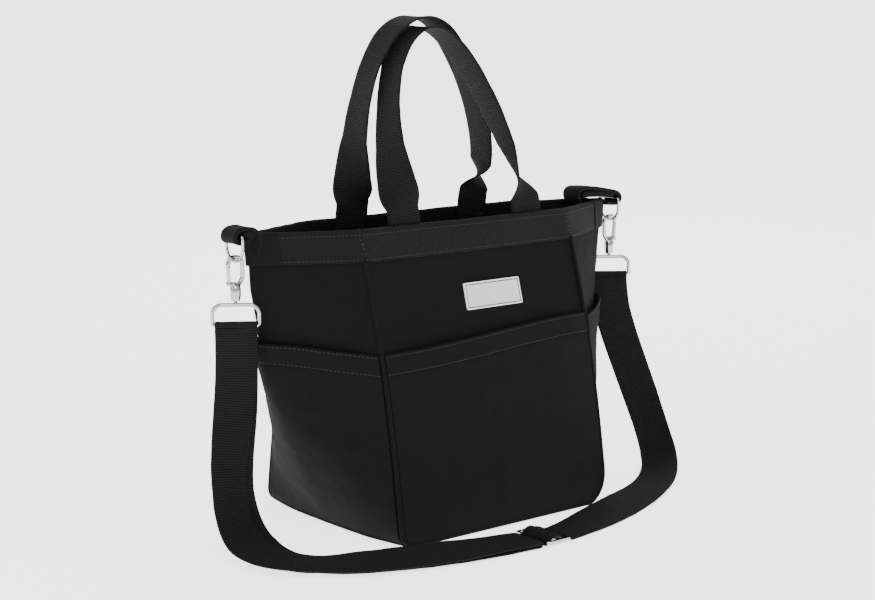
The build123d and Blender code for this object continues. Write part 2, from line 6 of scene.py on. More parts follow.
import bmesh
import bpy
from bpy.props import FloatProperty, FloatVectorProperty, PointerProperty
from mathutils import Matrix, Vector, noise
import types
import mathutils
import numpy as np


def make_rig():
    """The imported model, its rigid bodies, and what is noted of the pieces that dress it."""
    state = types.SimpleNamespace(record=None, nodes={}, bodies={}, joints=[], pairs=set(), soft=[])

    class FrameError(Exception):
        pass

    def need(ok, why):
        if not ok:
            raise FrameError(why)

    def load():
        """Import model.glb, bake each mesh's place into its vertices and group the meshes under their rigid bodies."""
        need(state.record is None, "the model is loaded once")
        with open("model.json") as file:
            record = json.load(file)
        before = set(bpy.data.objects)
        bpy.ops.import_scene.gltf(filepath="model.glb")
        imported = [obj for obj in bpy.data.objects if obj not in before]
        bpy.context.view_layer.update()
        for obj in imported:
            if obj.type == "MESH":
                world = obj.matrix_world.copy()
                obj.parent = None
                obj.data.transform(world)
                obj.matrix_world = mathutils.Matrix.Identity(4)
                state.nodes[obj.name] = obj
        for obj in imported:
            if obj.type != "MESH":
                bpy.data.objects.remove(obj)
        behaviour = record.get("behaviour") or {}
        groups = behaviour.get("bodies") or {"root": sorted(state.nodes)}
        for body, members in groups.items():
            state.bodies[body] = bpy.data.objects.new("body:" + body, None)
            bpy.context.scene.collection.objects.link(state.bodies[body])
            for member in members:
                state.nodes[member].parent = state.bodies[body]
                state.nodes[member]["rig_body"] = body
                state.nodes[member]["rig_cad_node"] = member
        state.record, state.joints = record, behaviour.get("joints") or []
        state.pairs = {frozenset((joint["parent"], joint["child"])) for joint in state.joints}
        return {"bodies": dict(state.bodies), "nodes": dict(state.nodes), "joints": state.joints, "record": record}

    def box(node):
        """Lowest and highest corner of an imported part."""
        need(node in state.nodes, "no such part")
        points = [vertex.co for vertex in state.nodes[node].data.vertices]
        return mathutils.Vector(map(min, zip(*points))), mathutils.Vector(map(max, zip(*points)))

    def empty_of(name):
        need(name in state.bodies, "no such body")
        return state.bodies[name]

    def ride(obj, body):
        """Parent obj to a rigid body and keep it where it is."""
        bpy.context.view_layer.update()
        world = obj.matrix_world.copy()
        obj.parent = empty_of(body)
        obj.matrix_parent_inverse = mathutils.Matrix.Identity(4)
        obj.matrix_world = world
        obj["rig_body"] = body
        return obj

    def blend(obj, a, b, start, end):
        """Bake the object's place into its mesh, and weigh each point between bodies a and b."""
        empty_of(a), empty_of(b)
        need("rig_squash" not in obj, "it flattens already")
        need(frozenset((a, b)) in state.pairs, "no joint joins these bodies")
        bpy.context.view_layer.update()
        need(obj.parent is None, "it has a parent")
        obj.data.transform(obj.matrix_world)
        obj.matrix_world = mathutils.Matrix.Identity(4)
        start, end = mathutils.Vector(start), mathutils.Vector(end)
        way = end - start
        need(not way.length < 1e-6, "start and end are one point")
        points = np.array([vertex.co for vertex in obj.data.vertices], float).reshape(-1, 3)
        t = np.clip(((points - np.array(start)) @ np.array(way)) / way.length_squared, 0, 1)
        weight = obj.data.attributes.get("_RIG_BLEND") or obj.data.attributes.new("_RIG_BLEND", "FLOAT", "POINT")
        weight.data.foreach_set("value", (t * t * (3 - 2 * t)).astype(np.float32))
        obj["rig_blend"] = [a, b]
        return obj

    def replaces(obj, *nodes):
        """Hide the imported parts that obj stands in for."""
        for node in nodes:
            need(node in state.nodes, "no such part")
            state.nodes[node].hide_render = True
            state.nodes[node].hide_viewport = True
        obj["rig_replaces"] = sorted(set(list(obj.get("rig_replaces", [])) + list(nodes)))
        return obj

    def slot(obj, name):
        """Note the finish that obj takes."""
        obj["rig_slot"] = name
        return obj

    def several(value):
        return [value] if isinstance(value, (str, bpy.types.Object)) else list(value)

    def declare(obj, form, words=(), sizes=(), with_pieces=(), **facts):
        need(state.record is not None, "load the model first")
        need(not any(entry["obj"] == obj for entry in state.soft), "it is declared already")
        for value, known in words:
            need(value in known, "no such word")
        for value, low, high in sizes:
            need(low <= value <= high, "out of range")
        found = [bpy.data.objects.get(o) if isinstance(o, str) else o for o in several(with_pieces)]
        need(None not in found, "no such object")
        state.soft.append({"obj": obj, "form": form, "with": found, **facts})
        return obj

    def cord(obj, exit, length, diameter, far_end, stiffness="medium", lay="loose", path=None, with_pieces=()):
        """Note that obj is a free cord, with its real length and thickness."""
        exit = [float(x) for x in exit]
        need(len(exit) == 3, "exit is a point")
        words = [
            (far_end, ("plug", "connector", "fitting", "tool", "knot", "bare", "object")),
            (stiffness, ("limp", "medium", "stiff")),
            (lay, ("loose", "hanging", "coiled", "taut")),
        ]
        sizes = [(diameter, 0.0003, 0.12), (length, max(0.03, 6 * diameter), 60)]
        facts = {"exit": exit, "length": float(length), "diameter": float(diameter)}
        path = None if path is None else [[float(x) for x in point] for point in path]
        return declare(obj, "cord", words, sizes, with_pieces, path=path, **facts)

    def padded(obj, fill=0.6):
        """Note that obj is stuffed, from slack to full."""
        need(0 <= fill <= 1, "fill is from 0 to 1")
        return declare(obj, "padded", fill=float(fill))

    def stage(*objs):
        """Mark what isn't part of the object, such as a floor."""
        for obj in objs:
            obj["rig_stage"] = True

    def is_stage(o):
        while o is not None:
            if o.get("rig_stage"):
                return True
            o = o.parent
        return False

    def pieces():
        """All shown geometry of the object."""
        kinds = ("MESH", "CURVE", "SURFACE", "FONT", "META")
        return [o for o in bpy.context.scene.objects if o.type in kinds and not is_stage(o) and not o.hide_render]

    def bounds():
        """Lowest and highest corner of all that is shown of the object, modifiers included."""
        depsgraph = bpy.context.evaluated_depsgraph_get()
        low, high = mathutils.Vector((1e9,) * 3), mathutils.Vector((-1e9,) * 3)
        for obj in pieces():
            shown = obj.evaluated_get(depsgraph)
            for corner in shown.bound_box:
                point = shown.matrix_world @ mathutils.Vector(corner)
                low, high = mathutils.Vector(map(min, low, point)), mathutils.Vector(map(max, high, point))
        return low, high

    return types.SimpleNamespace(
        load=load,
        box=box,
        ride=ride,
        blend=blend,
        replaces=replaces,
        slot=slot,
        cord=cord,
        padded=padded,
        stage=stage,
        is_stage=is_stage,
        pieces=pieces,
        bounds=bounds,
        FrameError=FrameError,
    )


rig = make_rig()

bl_info = {
    "name": "Garden Tool Bag",
    "version": (1, 0, 0),
    "blender": (4, 5, 0),
    "location": "View3D > Sidebar > Tool Bag",
    "description": "Builds a fabric garden tool bag with pockets, webbing handles and a clip-on shoulder strap",
    "category": "Object",
}

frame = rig.load()
FRAME_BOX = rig.bounds()

# The bag's own dimensions, taken from its frame
HALF_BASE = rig.box("front_panel")[1].x
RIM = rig.box("front_panel")[1].z
HALF_BASE_DEPTH = 0.112
HALF_MOUTH = 0.046
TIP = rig.box("right_gusset")[1].x
BAND_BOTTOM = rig.box("front_rim_band")[0].z
POCKET_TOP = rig.box("front_pocket")[1].z
WALL_BULGE = 0.008
FOLD_BULGE = 0.022
RING_X = (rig.box("right_ring")[0].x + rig.box("right_ring")[1].x) / 2
LOOP_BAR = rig.box("right_loop")[0].z + 0.002
LEG_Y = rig.box("back_handle_left_end")[0].y + 0.0007
SIDES = (("front", -1), ("back", 1))
ENDS = (("left", -1), ("right", 1))


class BagFabric(bpy.types.PropertyGroup):
    """The bag's cloth."""

    colour: FloatVectorProperty(name="Colour", description="Colour of the outer cloth", subtype="COLOR", size=3,
                                min=0, max=1, default=(0.0048, 0.0048, 0.0053))
    weave: FloatProperty(name="Weave", description="Spacing of the twill lines", default=0.0011, unit="LENGTH")
    wrinkle: FloatProperty(name="Wrinkle", description="How far the cloth wanders from flat", default=0.0016, unit="LENGTH")
    hem: FloatProperty(name="Hem", description="Height of the folded hem of each pocket", default=0.020, unit="LENGTH")


class BagWebbing(bpy.types.PropertyGroup):
    """Handles, strap and rim binding."""

    colour: FloatVectorProperty(name="Colour", description="Colour of the webbing", subtype="COLOR", size=3,
                                min=0, max=1, default=(0.0040, 0.0040, 0.0044))
    width: FloatProperty(name="Width", description="Width of the handles and the strap", default=0.040, unit="LENGTH")
    thickness: FloatProperty(name="Thickness", description="Thickness of the webbing", default=0.0016, unit="LENGTH")
    rib: FloatProperty(name="Rib", description="Spacing of the ribs along the webbing", default=0.0024, unit="LENGTH")
    cord: FloatProperty(name="Cord", description="Spacing of the columns across the webbing", default=0.0018, unit="LENGTH")


class BagMetal(bpy.types.PropertyGroup):
    """Rings, hooks, loops and the slider."""

    colour: FloatVectorProperty(name="Colour", description="Colour of the plated metal", subtype="COLOR", size=3,
                                min=0, max=1, default=(0.42, 0.415, 0.40))
    roughness: FloatProperty(name="Roughness", description="How dull the plating is", default=0.12, min=0, max=1)


class BagStage(bpy.types.PropertyGroup):
    """Floor, camera and lights."""

    floor: FloatVectorProperty(name="Floor", description="Colour of the floor", subtype="COLOR", size=3,
                               min=0, max=1, default=(0.95, 0.95, 0.95))
    lens: FloatProperty(name="Lens", description="Focal length of the camera in millimetres", default=77.1)
    azimuth: FloatProperty(name="Azimuth", description="Direction that the camera looks from, turned from the front",
                           default=radians(-39.56), subtype="ANGLE")
    tilt: FloatProperty(name="Tilt", description="How far down the camera looks", default=radians(9.68), subtype="ANGLE")


# Shape of the bag


def half_depth(z):
    """Half the bag's depth at its four seams."""
    t = z / RIM
    return HALF_BASE_DEPTH + (HALF_MOUTH - HALF_BASE_DEPTH) * t + WALL_BULGE * sin(pi * t)


def half_fold(z):
    """Half the bag's length at the middle folds of its two end walls."""
    t = z / RIM
    foot = HALF_BASE + 0.002
    return foot + (TIP - foot) * t + FOLD_BULGE * sin(pi * t)


def foot_radius(side):
    """Radius of the lower corners of the front and back walls."""
    return 0.016 if side < 0 else 0.034


def corner_cut(z, side):
    """How far a seam has turned in at a height, on its way round the lower corner."""
    radius = foot_radius(side)
    low = max(0.0, radius - z)
    return radius - sqrt(max(0.0, radius * radius - low * low))


def ease(t):
    t = min(1.0, max(0.0, t))
    return t * t * (3 - 2 * t)


def rumple(place, seed, amount, scale=14.0):
    """Slow folds and small dents in cloth."""
    spot = Vector((place.x * scale, place.y * scale, place.z * scale * 1.3)) + Vector((seed, 2 * seed, 0))
    return amount * (noise.noise(spot) + 0.45 * noise.noise(spot * 2.7) + 0.2 * noise.noise(spot * 6.1))


def face_point(u, z, side, out=0.0):
    """A point on the front or back wall, from u of -1 at its left seam to 1 at its right one."""
    half = HALF_BASE - corner_cut(z, -1 if u < 0 else 1) * abs(u) ** 0.6
    x = u * half
    calm = (1 - u ** 8) * ease(z / 0.03) * ease((RIM - z) / 0.05)
    place = Vector((x, side * half_depth(z), z))
    wander = rumple(place, 3.0, bpy.context.scene.bag_fabric.wrinkle) * calm
    belly = 0.0045 * (1 - u * u) * sin(pi * min(1.0, z / RIM)) ** 0.7
    hollow = -0.004 * exp(-((z - 0.235) / 0.03) ** 2) * (1 - u ** 4)
    return Vector((x, side * (half_depth(z) + out + wander + belly + hollow), z))


def end_point(s, z, side, out=0.0):
    """A point on an end wall, from s of -1 at its front seam through 0 at the fold to 1 at its back seam."""
    t = z / RIM
    soft = 0.05 + 0.5 * (1 - t) ** 2
    bend = (sqrt(s * s + soft * soft) - soft) / (sqrt(1 + soft * soft) - soft)
    tip, depth = half_fold(z), half_depth(z)
    seam = HALF_BASE - corner_cut(z, side)
    sides = ease((abs(s) - 0.45) / 0.55)
    run = tip - HALF_BASE + (HALF_BASE - seam) * sides
    x = tip - run * (bend if sides < 1 else 1.0)
    x = min(x, tip)
    y = s * depth
    lean = Vector((depth, (tip - HALF_BASE) * (s / sqrt(s * s + soft * soft)), 0)).normalized()
    place = Vector((x, y, z))
    calm = (1 - s ** 8) * ease(z / 0.03) * ease((RIM - z) / 0.06)
    wander = rumple(place, 9.0 * side, bpy.context.scene.bag_fabric.wrinkle * 1.3) * calm
    full = 0.004 * exp(-((abs(s) - 0.55) / 0.28) ** 2) * sin(pi * min(1.0, z / 0.24)) if z < 0.24 else 0.0
    place += lean * (out + wander + full)
    return Vector((side * place.x, place.y, place.z))


def around(a, z, side, out=0.0):
    """A point on one long side of the bag, from the left tip at a of 0 to the right tip at 1, rounded at the seams."""
    spread = (-0.012, -0.006, 0.0, 0.006, 0.012)
    total = Vector()
    for step in spread:
        b = min(1.0, max(0.0, a + step * min(1.0, 12 * min(a, 1 - a))))
        if b < 0.27:
            total += end_point((b / 0.27) * side, z, -1, out)
        elif b > 0.73:
            total += end_point((1 - b) / 0.27 * side, z, 1, out)
        else:
            total += face_point((b - 0.5) / 0.23, z, side, out)
    return total / len(spread)


# Mesh helpers


def shown(bm, name, finish, body, smooth=True):
    """Turn a bmesh into a piece that rides on a body."""
    mesh = bpy.data.meshes.new(name)
    bm.to_mesh(mesh)
    bm.free()
    piece = bpy.data.objects.new(name, mesh)
    bpy.context.scene.collection.objects.link(piece)
    mesh.materials.append(finish)
    if smooth:
        mesh.shade_smooth()
    if body:
        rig.ride(piece, body)
    return piece


def laid(columns, rows, place, size):
    """A grid of cloth laid through place(u, v), with its UV map in metres."""
    bm = bmesh.new()
    chart = bm.loops.layers.uv.new("cloth")
    bmesh.ops.create_grid(bm, x_segments=columns, y_segments=rows, size=0.5)
    for face in bm.faces:
        for loop in face.loops:
            u, v = loop.vert.co.x + 0.5, loop.vert.co.y + 0.5
            loop[chart].uv = (u * size[0], v * size[1])
    for vert in bm.verts:
        vert.co = place(vert.co.x + 0.5, vert.co.y + 0.5)
    return bm


def walled(piece, thickness, offset=-1.0, levels=0):
    """Give cloth its thickness, and smooth it."""
    solid = piece.modifiers.new("thickness", "SOLIDIFY")
    solid.thickness = thickness
    solid.offset = offset
    solid.use_even_offset = False
    if levels:
        soft = piece.modifiers.new("softness", "SUBSURF")
        soft.levels = soft.render_levels = levels
    return piece


def out_facing(bm, away):
    """Flip the cloth if it doesn't face away from a point."""
    score = 0.0
    bm.normal_update()
    for face in bm.faces:
        score += face.normal.dot(face.calc_center_median() - away) * face.calc_area()
    if score < 0:
        bmesh.ops.reverse_faces(bm, faces=bm.faces)
    return bm


def smooth_line(points, name="route"):
    """The points of a smooth line through a route, and each one's place along the route's list."""
    curve = bpy.data.curves.new(name, "CURVE")
    curve.dimensions = "3D"
    curve.resolution_u = 24
    spline = curve.splines.new("NURBS")
    spline.points.add(len(points) - 1)
    for spot, point in zip(spline.points, points):
        spot.co = (*point, 1.0)
    spline.order_u = 3
    spline.use_endpoint_u = True
    holder = bpy.data.objects.new(name, curve)
    bpy.context.scene.collection.objects.link(holder)
    mesh = bpy.data.meshes.new_from_object(holder)
    line = [v.co.copy() for v in mesh.vertices]
    bpy.data.objects.remove(holder)
    bpy.data.curves.remove(curve)
    bpy.data.meshes.remove(mesh)
    last = len(line) - 1
    places = [min(len(points) - 1.0, max(0.0, 0.5 + i / last * (len(points) - 2))) for i in range(last + 1)]
    places[0], places[-1] = 0.0, len(points) - 1.0
    return line, places


def evenly(line, places, step):
    """The same line with its points a step apart."""
    lengths = [0.0]
    for a, b in zip(line, line[1:]):
        lengths.append(lengths[-1] + (b - a).length)
    count = max(8, round(lengths[-1] / step))
    spots, marks, k = [], [], 0
    for i in range(count + 1):
        goal = lengths[-1] * i / count
        while k < len(line) - 2 and lengths[k + 1] < goal:
            k += 1
        t = (goal - lengths[k]) / max(1e-9, lengths[k + 1] - lengths[k])
        spots.append(line[k].lerp(line[k + 1], t))
        marks.append(places[k] + (places[k + 1] - places[k]) * t)
    return spots, marks, lengths[-1]


def facing_at(facings, mark):
    first = min(int(mark), len(facings) - 2)
    return Vector(facings[first]).lerp(Vector(facings[first + 1]), mark - first)


def ribbon(points, facings, width, thickness, curl=0.0, step=0.002, seed=0.0):
    """Flat webbing along a route: its bmesh, the line it follows, its length and its frames."""
    line, places = smooth_line(points)
    line, places, length = evenly(line, places, step)
    frames = []
    for i, (spot, mark) in enumerate(zip(line, places)):
        ahead = (line[min(i + 1, len(line) - 1)] - line[max(i - 1, 0)]).normalized()
        across = facing_at(facings, mark)
        across = (across - ahead * across.dot(ahead)).normalized()
        frames.append((spot, across, across.cross(ahead)))
    columns = [(-1 + k / 5) * 0.985 for k in range(11)]
    ring = [(-1.0, 0.0)] + [(x, 0.5) for x in columns] + [(1.0, 0.0)] + [(x, -0.5) for x in columns[::-1]]
    bm = bmesh.new()
    chart = bm.loops.layers.uv.new("cloth")
    bmesh.ops.create_grid(bm, x_segments=len(frames) - 1, y_segments=len(ring), size=0.5)
    where = {}
    for vert in bm.verts:
        i = round((vert.co.x + 0.5) * (len(frames) - 1))
        j = round((vert.co.y + 0.5) * len(ring))
        where[vert] = (i, j)
    for face in bm.faces:
        for loop in face.loops:
            i, j = where[loop.vert]
            loop[chart].uv = (i / (len(frames) - 1) * length, ring[j % len(ring)][0] * width / 2)
    for vert, (i, j) in where.items():
        spot, across, up = frames[i]
        side, rise = ring[j % len(ring)]
        fuzz = 0.0004 * noise.noise(Vector((i * 0.11, side * 0.6, seed)))
        cup = curl * (side * side - 0.4)
        edge = 1 + 0.006 * noise.noise(Vector((i * 0.23, seed, side)))
        vert.co = spot + across * side * width / 2 * edge + up * (rise * thickness + cup + fuzz)
    bmesh.ops.remove_doubles(bm, verts=bm.verts, dist=1e-6)
    bmesh.ops.holes_fill(bm, edges=[e for e in bm.edges if e.is_boundary])
    bmesh.ops.recalc_face_normals(bm, faces=bm.faces)
    return bm, line, length, frames


def rope(points, radius, sides=10, step=0.003):
    """A round cord of cloth along a list of points, closed at both ends."""
    line, places, length = evenly([Vector(p) for p in points], list(range(len(points))), step)
    bm = bmesh.new()
    chart = bm.loops.layers.uv.new("cloth")
    bmesh.ops.create_grid(bm, x_segments=len(line) - 1, y_segments=sides, size=0.5)
    up = Vector((0, 0, 1))
    frames = []
    first = (line[1] - line[0]).normalized()
    over = first.orthogonal().normalized()
    for i, spot in enumerate(line):
        ahead = (line[min(i + 1, len(line) - 1)] - line[max(i - 1, 0)]).normalized()
        over = (over - ahead * over.dot(ahead)).normalized()
        frames.append((spot, over, ahead.cross(over)))
    for face in bm.faces:
        for loop in face.loops:
            loop[chart].uv = ((loop.vert.co.x + 0.5) * length, (loop.vert.co.y + 0.5) * 2 * pi * radius)
    for vert in bm.verts:
        i = round((vert.co.x + 0.5) * (len(line) - 1))
        turn = 2 * pi * (vert.co.y + 0.5)
        spot, a, b = frames[i]
        vert.co = spot + (a * cos(turn) + b * sin(turn)) * radius
    bmesh.ops.remove_doubles(bm, verts=bm.verts, dist=1e-6)
    bmesh.ops.holes_fill(bm, edges=[e for e in bm.edges if e.is_boundary])
    bmesh.ops.recalc_face_normals(bm, faces=bm.faces)
    return bm


def stitched(name, runs, body, finish, stitch=0.0030, gap=0.0011, radius=0.00035):
    """Rows of short thread stitches; a run is a list of points with the direction off the cloth at each."""
    bm = bmesh.new()
    for run in runs:
        spots = [Vector(p) for p, _ in run]
        outs = [Vector(n) for _, n in run]
        lengths = [0.0]
        for a, b in zip(spots, spots[1:]):
            lengths.append(lengths[-1] + (b - a).length)
        count = int(lengths[-1] / (stitch + gap))
        k = 0
        for i in range(count):
            middle = (i + 0.5) * lengths[-1] / count
            while k < len(spots) - 2 and lengths[k + 1] < middle:
                k += 1
            t = (middle - lengths[k]) / max(1e-9, lengths[k + 1] - lengths[k])
            spot = spots[k].lerp(spots[k + 1], t)
            ahead = (spots[k + 1] - spots[k]).normalized()
            out = outs[k].lerp(outs[k + 1], t)
            out = (out - ahead * out.dot(ahead)).normalized()
            turn = Matrix((ahead, out.cross(ahead), out)).transposed().to_4x4()
            size = Matrix.Diagonal((radius * 1.1, radius, stitch / 2, 1))
            bmesh.ops.create_uvsphere(bm, u_segments=6, v_segments=4, radius=1.0,
                                      matrix=Matrix.Translation(spot) @ turn @ Matrix.Rotation(pi / 2, 4, "Y") @ size)
    return shown(bm, name, finish, body)


# Finishes


class Val:
    """A socket or a number whose arithmetic adds Math nodes."""

    def __init__(self, finish, link):
        self.finish = finish
        self.link = link

    def math(self, operation, *others):
        inputs = [o.link if isinstance(o, Val) else o for o in (self, *others)]
        return self.finish.node("ShaderNodeMath", {"operation": operation}, dict(enumerate(inputs)))

    def __add__(self, other):
        return self.math("ADD", other)

    __radd__ = __add__

    def __sub__(self, other):
        return self.math("SUBTRACT", other)

    def __rsub__(self, other):
        return Val(self.finish, other).math("SUBTRACT", self)

    def __mul__(self, other):
        return self.math("MULTIPLY", other)

    __rmul__ = __mul__

    def __truediv__(self, other):
        return self.math("DIVIDE", other)

    def __pow__(self, other):
        return self.math("POWER", other)

    def sin(self):
        return self.math("SINE")

    def abs(self):
        return self.math("ABSOLUTE")

    def floor(self):
        return self.math("FLOOR")

    def fract(self):
        return self.math("FRACT")

    def clip(self):
        return self.math("MINIMUM", 1.0).math("MAXIMUM", 0.0)


class Finish:
    """A material in the making."""

    def __init__(self, name):
        self.material = bpy.data.materials.new(name)
        self.material.use_nodes = True
        self.tree = self.material.node_tree
        self.tree.nodes.clear()
        self.surface = self.tree.nodes.new("ShaderNodeBsdfPrincipled")
        output = self.tree.nodes.new("ShaderNodeOutputMaterial")
        self.tree.links.new(self.surface.outputs["BSDF"], output.inputs["Surface"])

    def node(self, kind, settings, inputs, output=0):
        """A node of a kind, with its settings made first, then its sockets' values or links."""
        made = self.tree.nodes.new(kind)
        for key, value in settings.items():
            if key == "stops":
                while len(made.color_ramp.elements) < len(value):
                    made.color_ramp.elements.new(0.5)
                for element, (place, colour) in zip(made.color_ramp.elements, value):
                    element.position = place
                    element.color = colour
            else:
                setattr(made, key, value)
        for key, value in inputs.items():
            value = value.link if isinstance(value, Val) else value
            if isinstance(value, bpy.types.NodeSocket):
                self.tree.links.new(value, made.inputs[key])
            else:
                made.inputs[key].default_value = value
        return Val(self, made.outputs[output])

    def set(self, **sockets):
        names = {"coat_roughness": "Coat Roughness"}
        for key, value in sockets.items():
            socket = self.surface.inputs[names.get(key, key.replace("_", " ").title())]
            value = value.link if isinstance(value, Val) else value
            if isinstance(value, bpy.types.NodeSocket):
                self.tree.links.new(value, socket)
            else:
                socket.default_value = value

    def cloth_map(self):
        """The piece's own UV map, in metres, as two values."""
        vector = self.node("ShaderNodeUVMap", {"uv_map": "cloth"}, {})
        split = self.tree.nodes.new("ShaderNodeSeparateXYZ")
        self.tree.links.new(vector.link, split.inputs[0])
        return Val(self, split.outputs[0]), Val(self, split.outputs[1]), vector

    def place(self):
        """Where a point is on the object."""
        return self.node("ShaderNodeTexCoord", {}, {}, "Object")

    def grain(self, vector, scale, detail=2.0, roughness=0.5):
        inputs = {"Vector": vector, "Scale": scale, "Detail": detail, "Roughness": roughness}
        return self.node("ShaderNodeTexNoise", {}, inputs)

    def mix(self, amount, first, second):
        return self.node("ShaderNodeMix", {"data_type": "RGBA"}, {0: amount, 6: first, 7: second}, 2)

    def bump(self, height, distance, strength=1.0, under=None):
        inputs = {"Height": height, "Distance": distance, "Strength": strength}
        if under:
            inputs["Normal"] = under
        return self.node("ShaderNodeBump", {}, inputs)


def grey(colour, factor):
    return tuple(min(1.0, c * factor) for c in colour[:3]) + (1.0,)


def cloth_finish(name, colour, sheen=0.01, rough=0.92, mapped=True):
    """Matt woven cloth with fine diagonal twill lines."""
    kit = Finish(name)
    pitch = bpy.context.scene.bag_fabric.weave
    spot = kit.place()
    slow = kit.grain(spot, 9.0, 3.0)
    fine = kit.grain(spot, 900.0, 1.0)
    if mapped:
        u, v, _ = kit.cloth_map()
        lines = ((u + v) * (2 * pi / pitch)).sin() * 0.5 + 0.5
        cross = ((u - v) * (2 * pi / (pitch * 0.62))).sin() * 0.5 + 0.5
        height = lines * 0.75 + cross * 0.25
    else:
        height = fine
    thread = (height * 0.6 + fine * 0.5).clip()
    base = kit.mix(thread, grey(colour, 0.62), grey(colour, 1.5))
    worn = kit.mix((slow * 1.6 - 0.5).clip(), grey(colour, 0.85), grey(colour, 1.12))
    blend = kit.node("ShaderNodeMix", {"data_type": "RGBA", "blend_type": "MIX"}, {0: 0.4, 6: base, 7: worn}, 2)
    kit.set(base_color=blend, roughness=(rough - 0.1 + slow * 0.16))
    kit.set(normal=kit.bump(height + fine * 0.4, 0.00018, 0.75))
    kit.set(sheen_weight=sheen, sheen_roughness=0.45)
    kit.surface.inputs["Specular IOR Level"].default_value = 0.08
    return kit.material


def webbing_finish(name, colour, sheen=0.015, rough=0.80, along=True):
    """Ribbed woven webbing, with rounded cords across it and a close row of columns."""
    kit = Finish(name)
    web = bpy.context.scene.bag_webbing
    u, v, vector = kit.cloth_map()
    if not along:
        u, v = v, u
    row = u / web.rib
    column = v / web.cord
    shift = (row.floor() * 0.5).fract()
    ribs = (row * pi).sin().abs()
    cells = ((column + shift) * pi).sin().abs()
    weave = ribs ** 0.6 * (cells ** 0.5 * 0.6 + 0.4)
    fuzz = kit.grain(vector, 2600.0, 2.0)
    slow = kit.grain(kit.place(), 16.0, 2.0)
    tone = (weave * 0.85 + fuzz * 0.3 - 0.12).clip()
    base = kit.mix(tone, grey(colour, 0.2), grey(colour, 2.8))
    kit.set(base_color=base, roughness=(rough - 0.12 + slow * 0.2))
    kit.set(normal=kit.bump(weave + fuzz * 0.25, 0.0009, 1.0))
    kit.set(sheen_weight=sheen, sheen_roughness=0.4)
    kit.surface.inputs["Specular IOR Level"].default_value = 0.1
    return kit.material


def metal_finish(name, colour, rough):
    """Polished plated metal with light scuffs."""
    kit = Finish(name)
    spot = kit.place()
    slow = kit.grain(spot, 60.0, 3.0)
    scuff = kit.grain(spot, 700.0, 2.0)
    base = kit.mix((slow * 1.4 - 0.3).clip(), grey(colour, 0.86), grey(colour, 1.1))
    marks = (scuff * 3 - 1.6).clip()
    kit.set(base_color=base, metallic=1.0, roughness=(marks * 0.14 + slow * 0.08 + (rough - 0.05)))
    kit.set(normal=kit.bump(scuff, 0.00004, 0.35))
    return kit.material


def plate_finish(name):
    """Satin light grey plate."""
    kit = Finish(name)
    spot = kit.place()
    brushed = kit.grain(kit.node("ShaderNodeMapping", {}, {"Vector": spot, "Scale": (60, 900, 900)}), 1.0, 2.0)
    slow = kit.grain(spot, 40.0, 2.0)
    base = kit.mix((brushed * 0.7 + slow * 0.3).clip(), (0.50, 0.51, 0.52, 1), (0.66, 0.67, 0.68, 1))
    kit.set(base_color=base, metallic=0.0, roughness=(0.5 + brushed * 0.12))
    kit.set(normal=kit.bump(brushed, 0.00005, 0.4))
    return kit.material


def plain_finish(name, colour, rough, speckle=400.0):
    """Smooth moulded or painted surface with a faint grain."""
    kit = Finish(name)
    spot = kit.place()
    grain = kit.grain(spot, speckle, 2.0)
    base = kit.mix(grain, grey(colour, 0.8), grey(colour, 1.2))
    kit.set(base_color=base, roughness=(rough - 0.05 + grain * 0.1), normal=kit.bump(grain, 0.0001, 0.4))
    return kit.material


def finish(name):
    return bpy.data.materials[name]


class BAG_OT_finishes(bpy.types.Operator):
    """Make the cloth, webbing, metal and plate finishes"""

    bl_idname = "bag.finishes"
    bl_label = "Finishes"

    def execute(self, context):
        scene = context.scene
        fabric, web, metal = scene.bag_fabric.colour, scene.bag_webbing.colour, scene.bag_metal.colour
        cloth_finish("shell twill", fabric)
        cloth_finish("pocket twill", grey(fabric, 1.04))
        cloth_finish("piping cloth", grey(fabric, 0.95), mapped=False)
        cloth_finish("tab cloth", grey(fabric, 1.1), sheen=0.03)
        cloth_finish("lining cloth", grey(fabric, 0.6), sheen=0.05)
        webbing_finish("strap webbing", web)
        webbing_finish("handle webbing", web)
        webbing_finish("rim webbing", grey(web, 1.05))
        metal_finish("polished nickel", metal, scene.bag_metal.roughness)
        plate_finish("label plate satin")
        plain_finish("label border", (0.8, 0.8, 0.8), 0.35)
        plain_finish("label line", (0.02, 0.02, 0.02), 0.5)
        plain_finish("thread", grey(fabric, 2.2), 0.6, 3000.0)
        plain_finish("floor board", (0.012, 0.012, 0.012), 0.6)
        return {"FINISHED"}


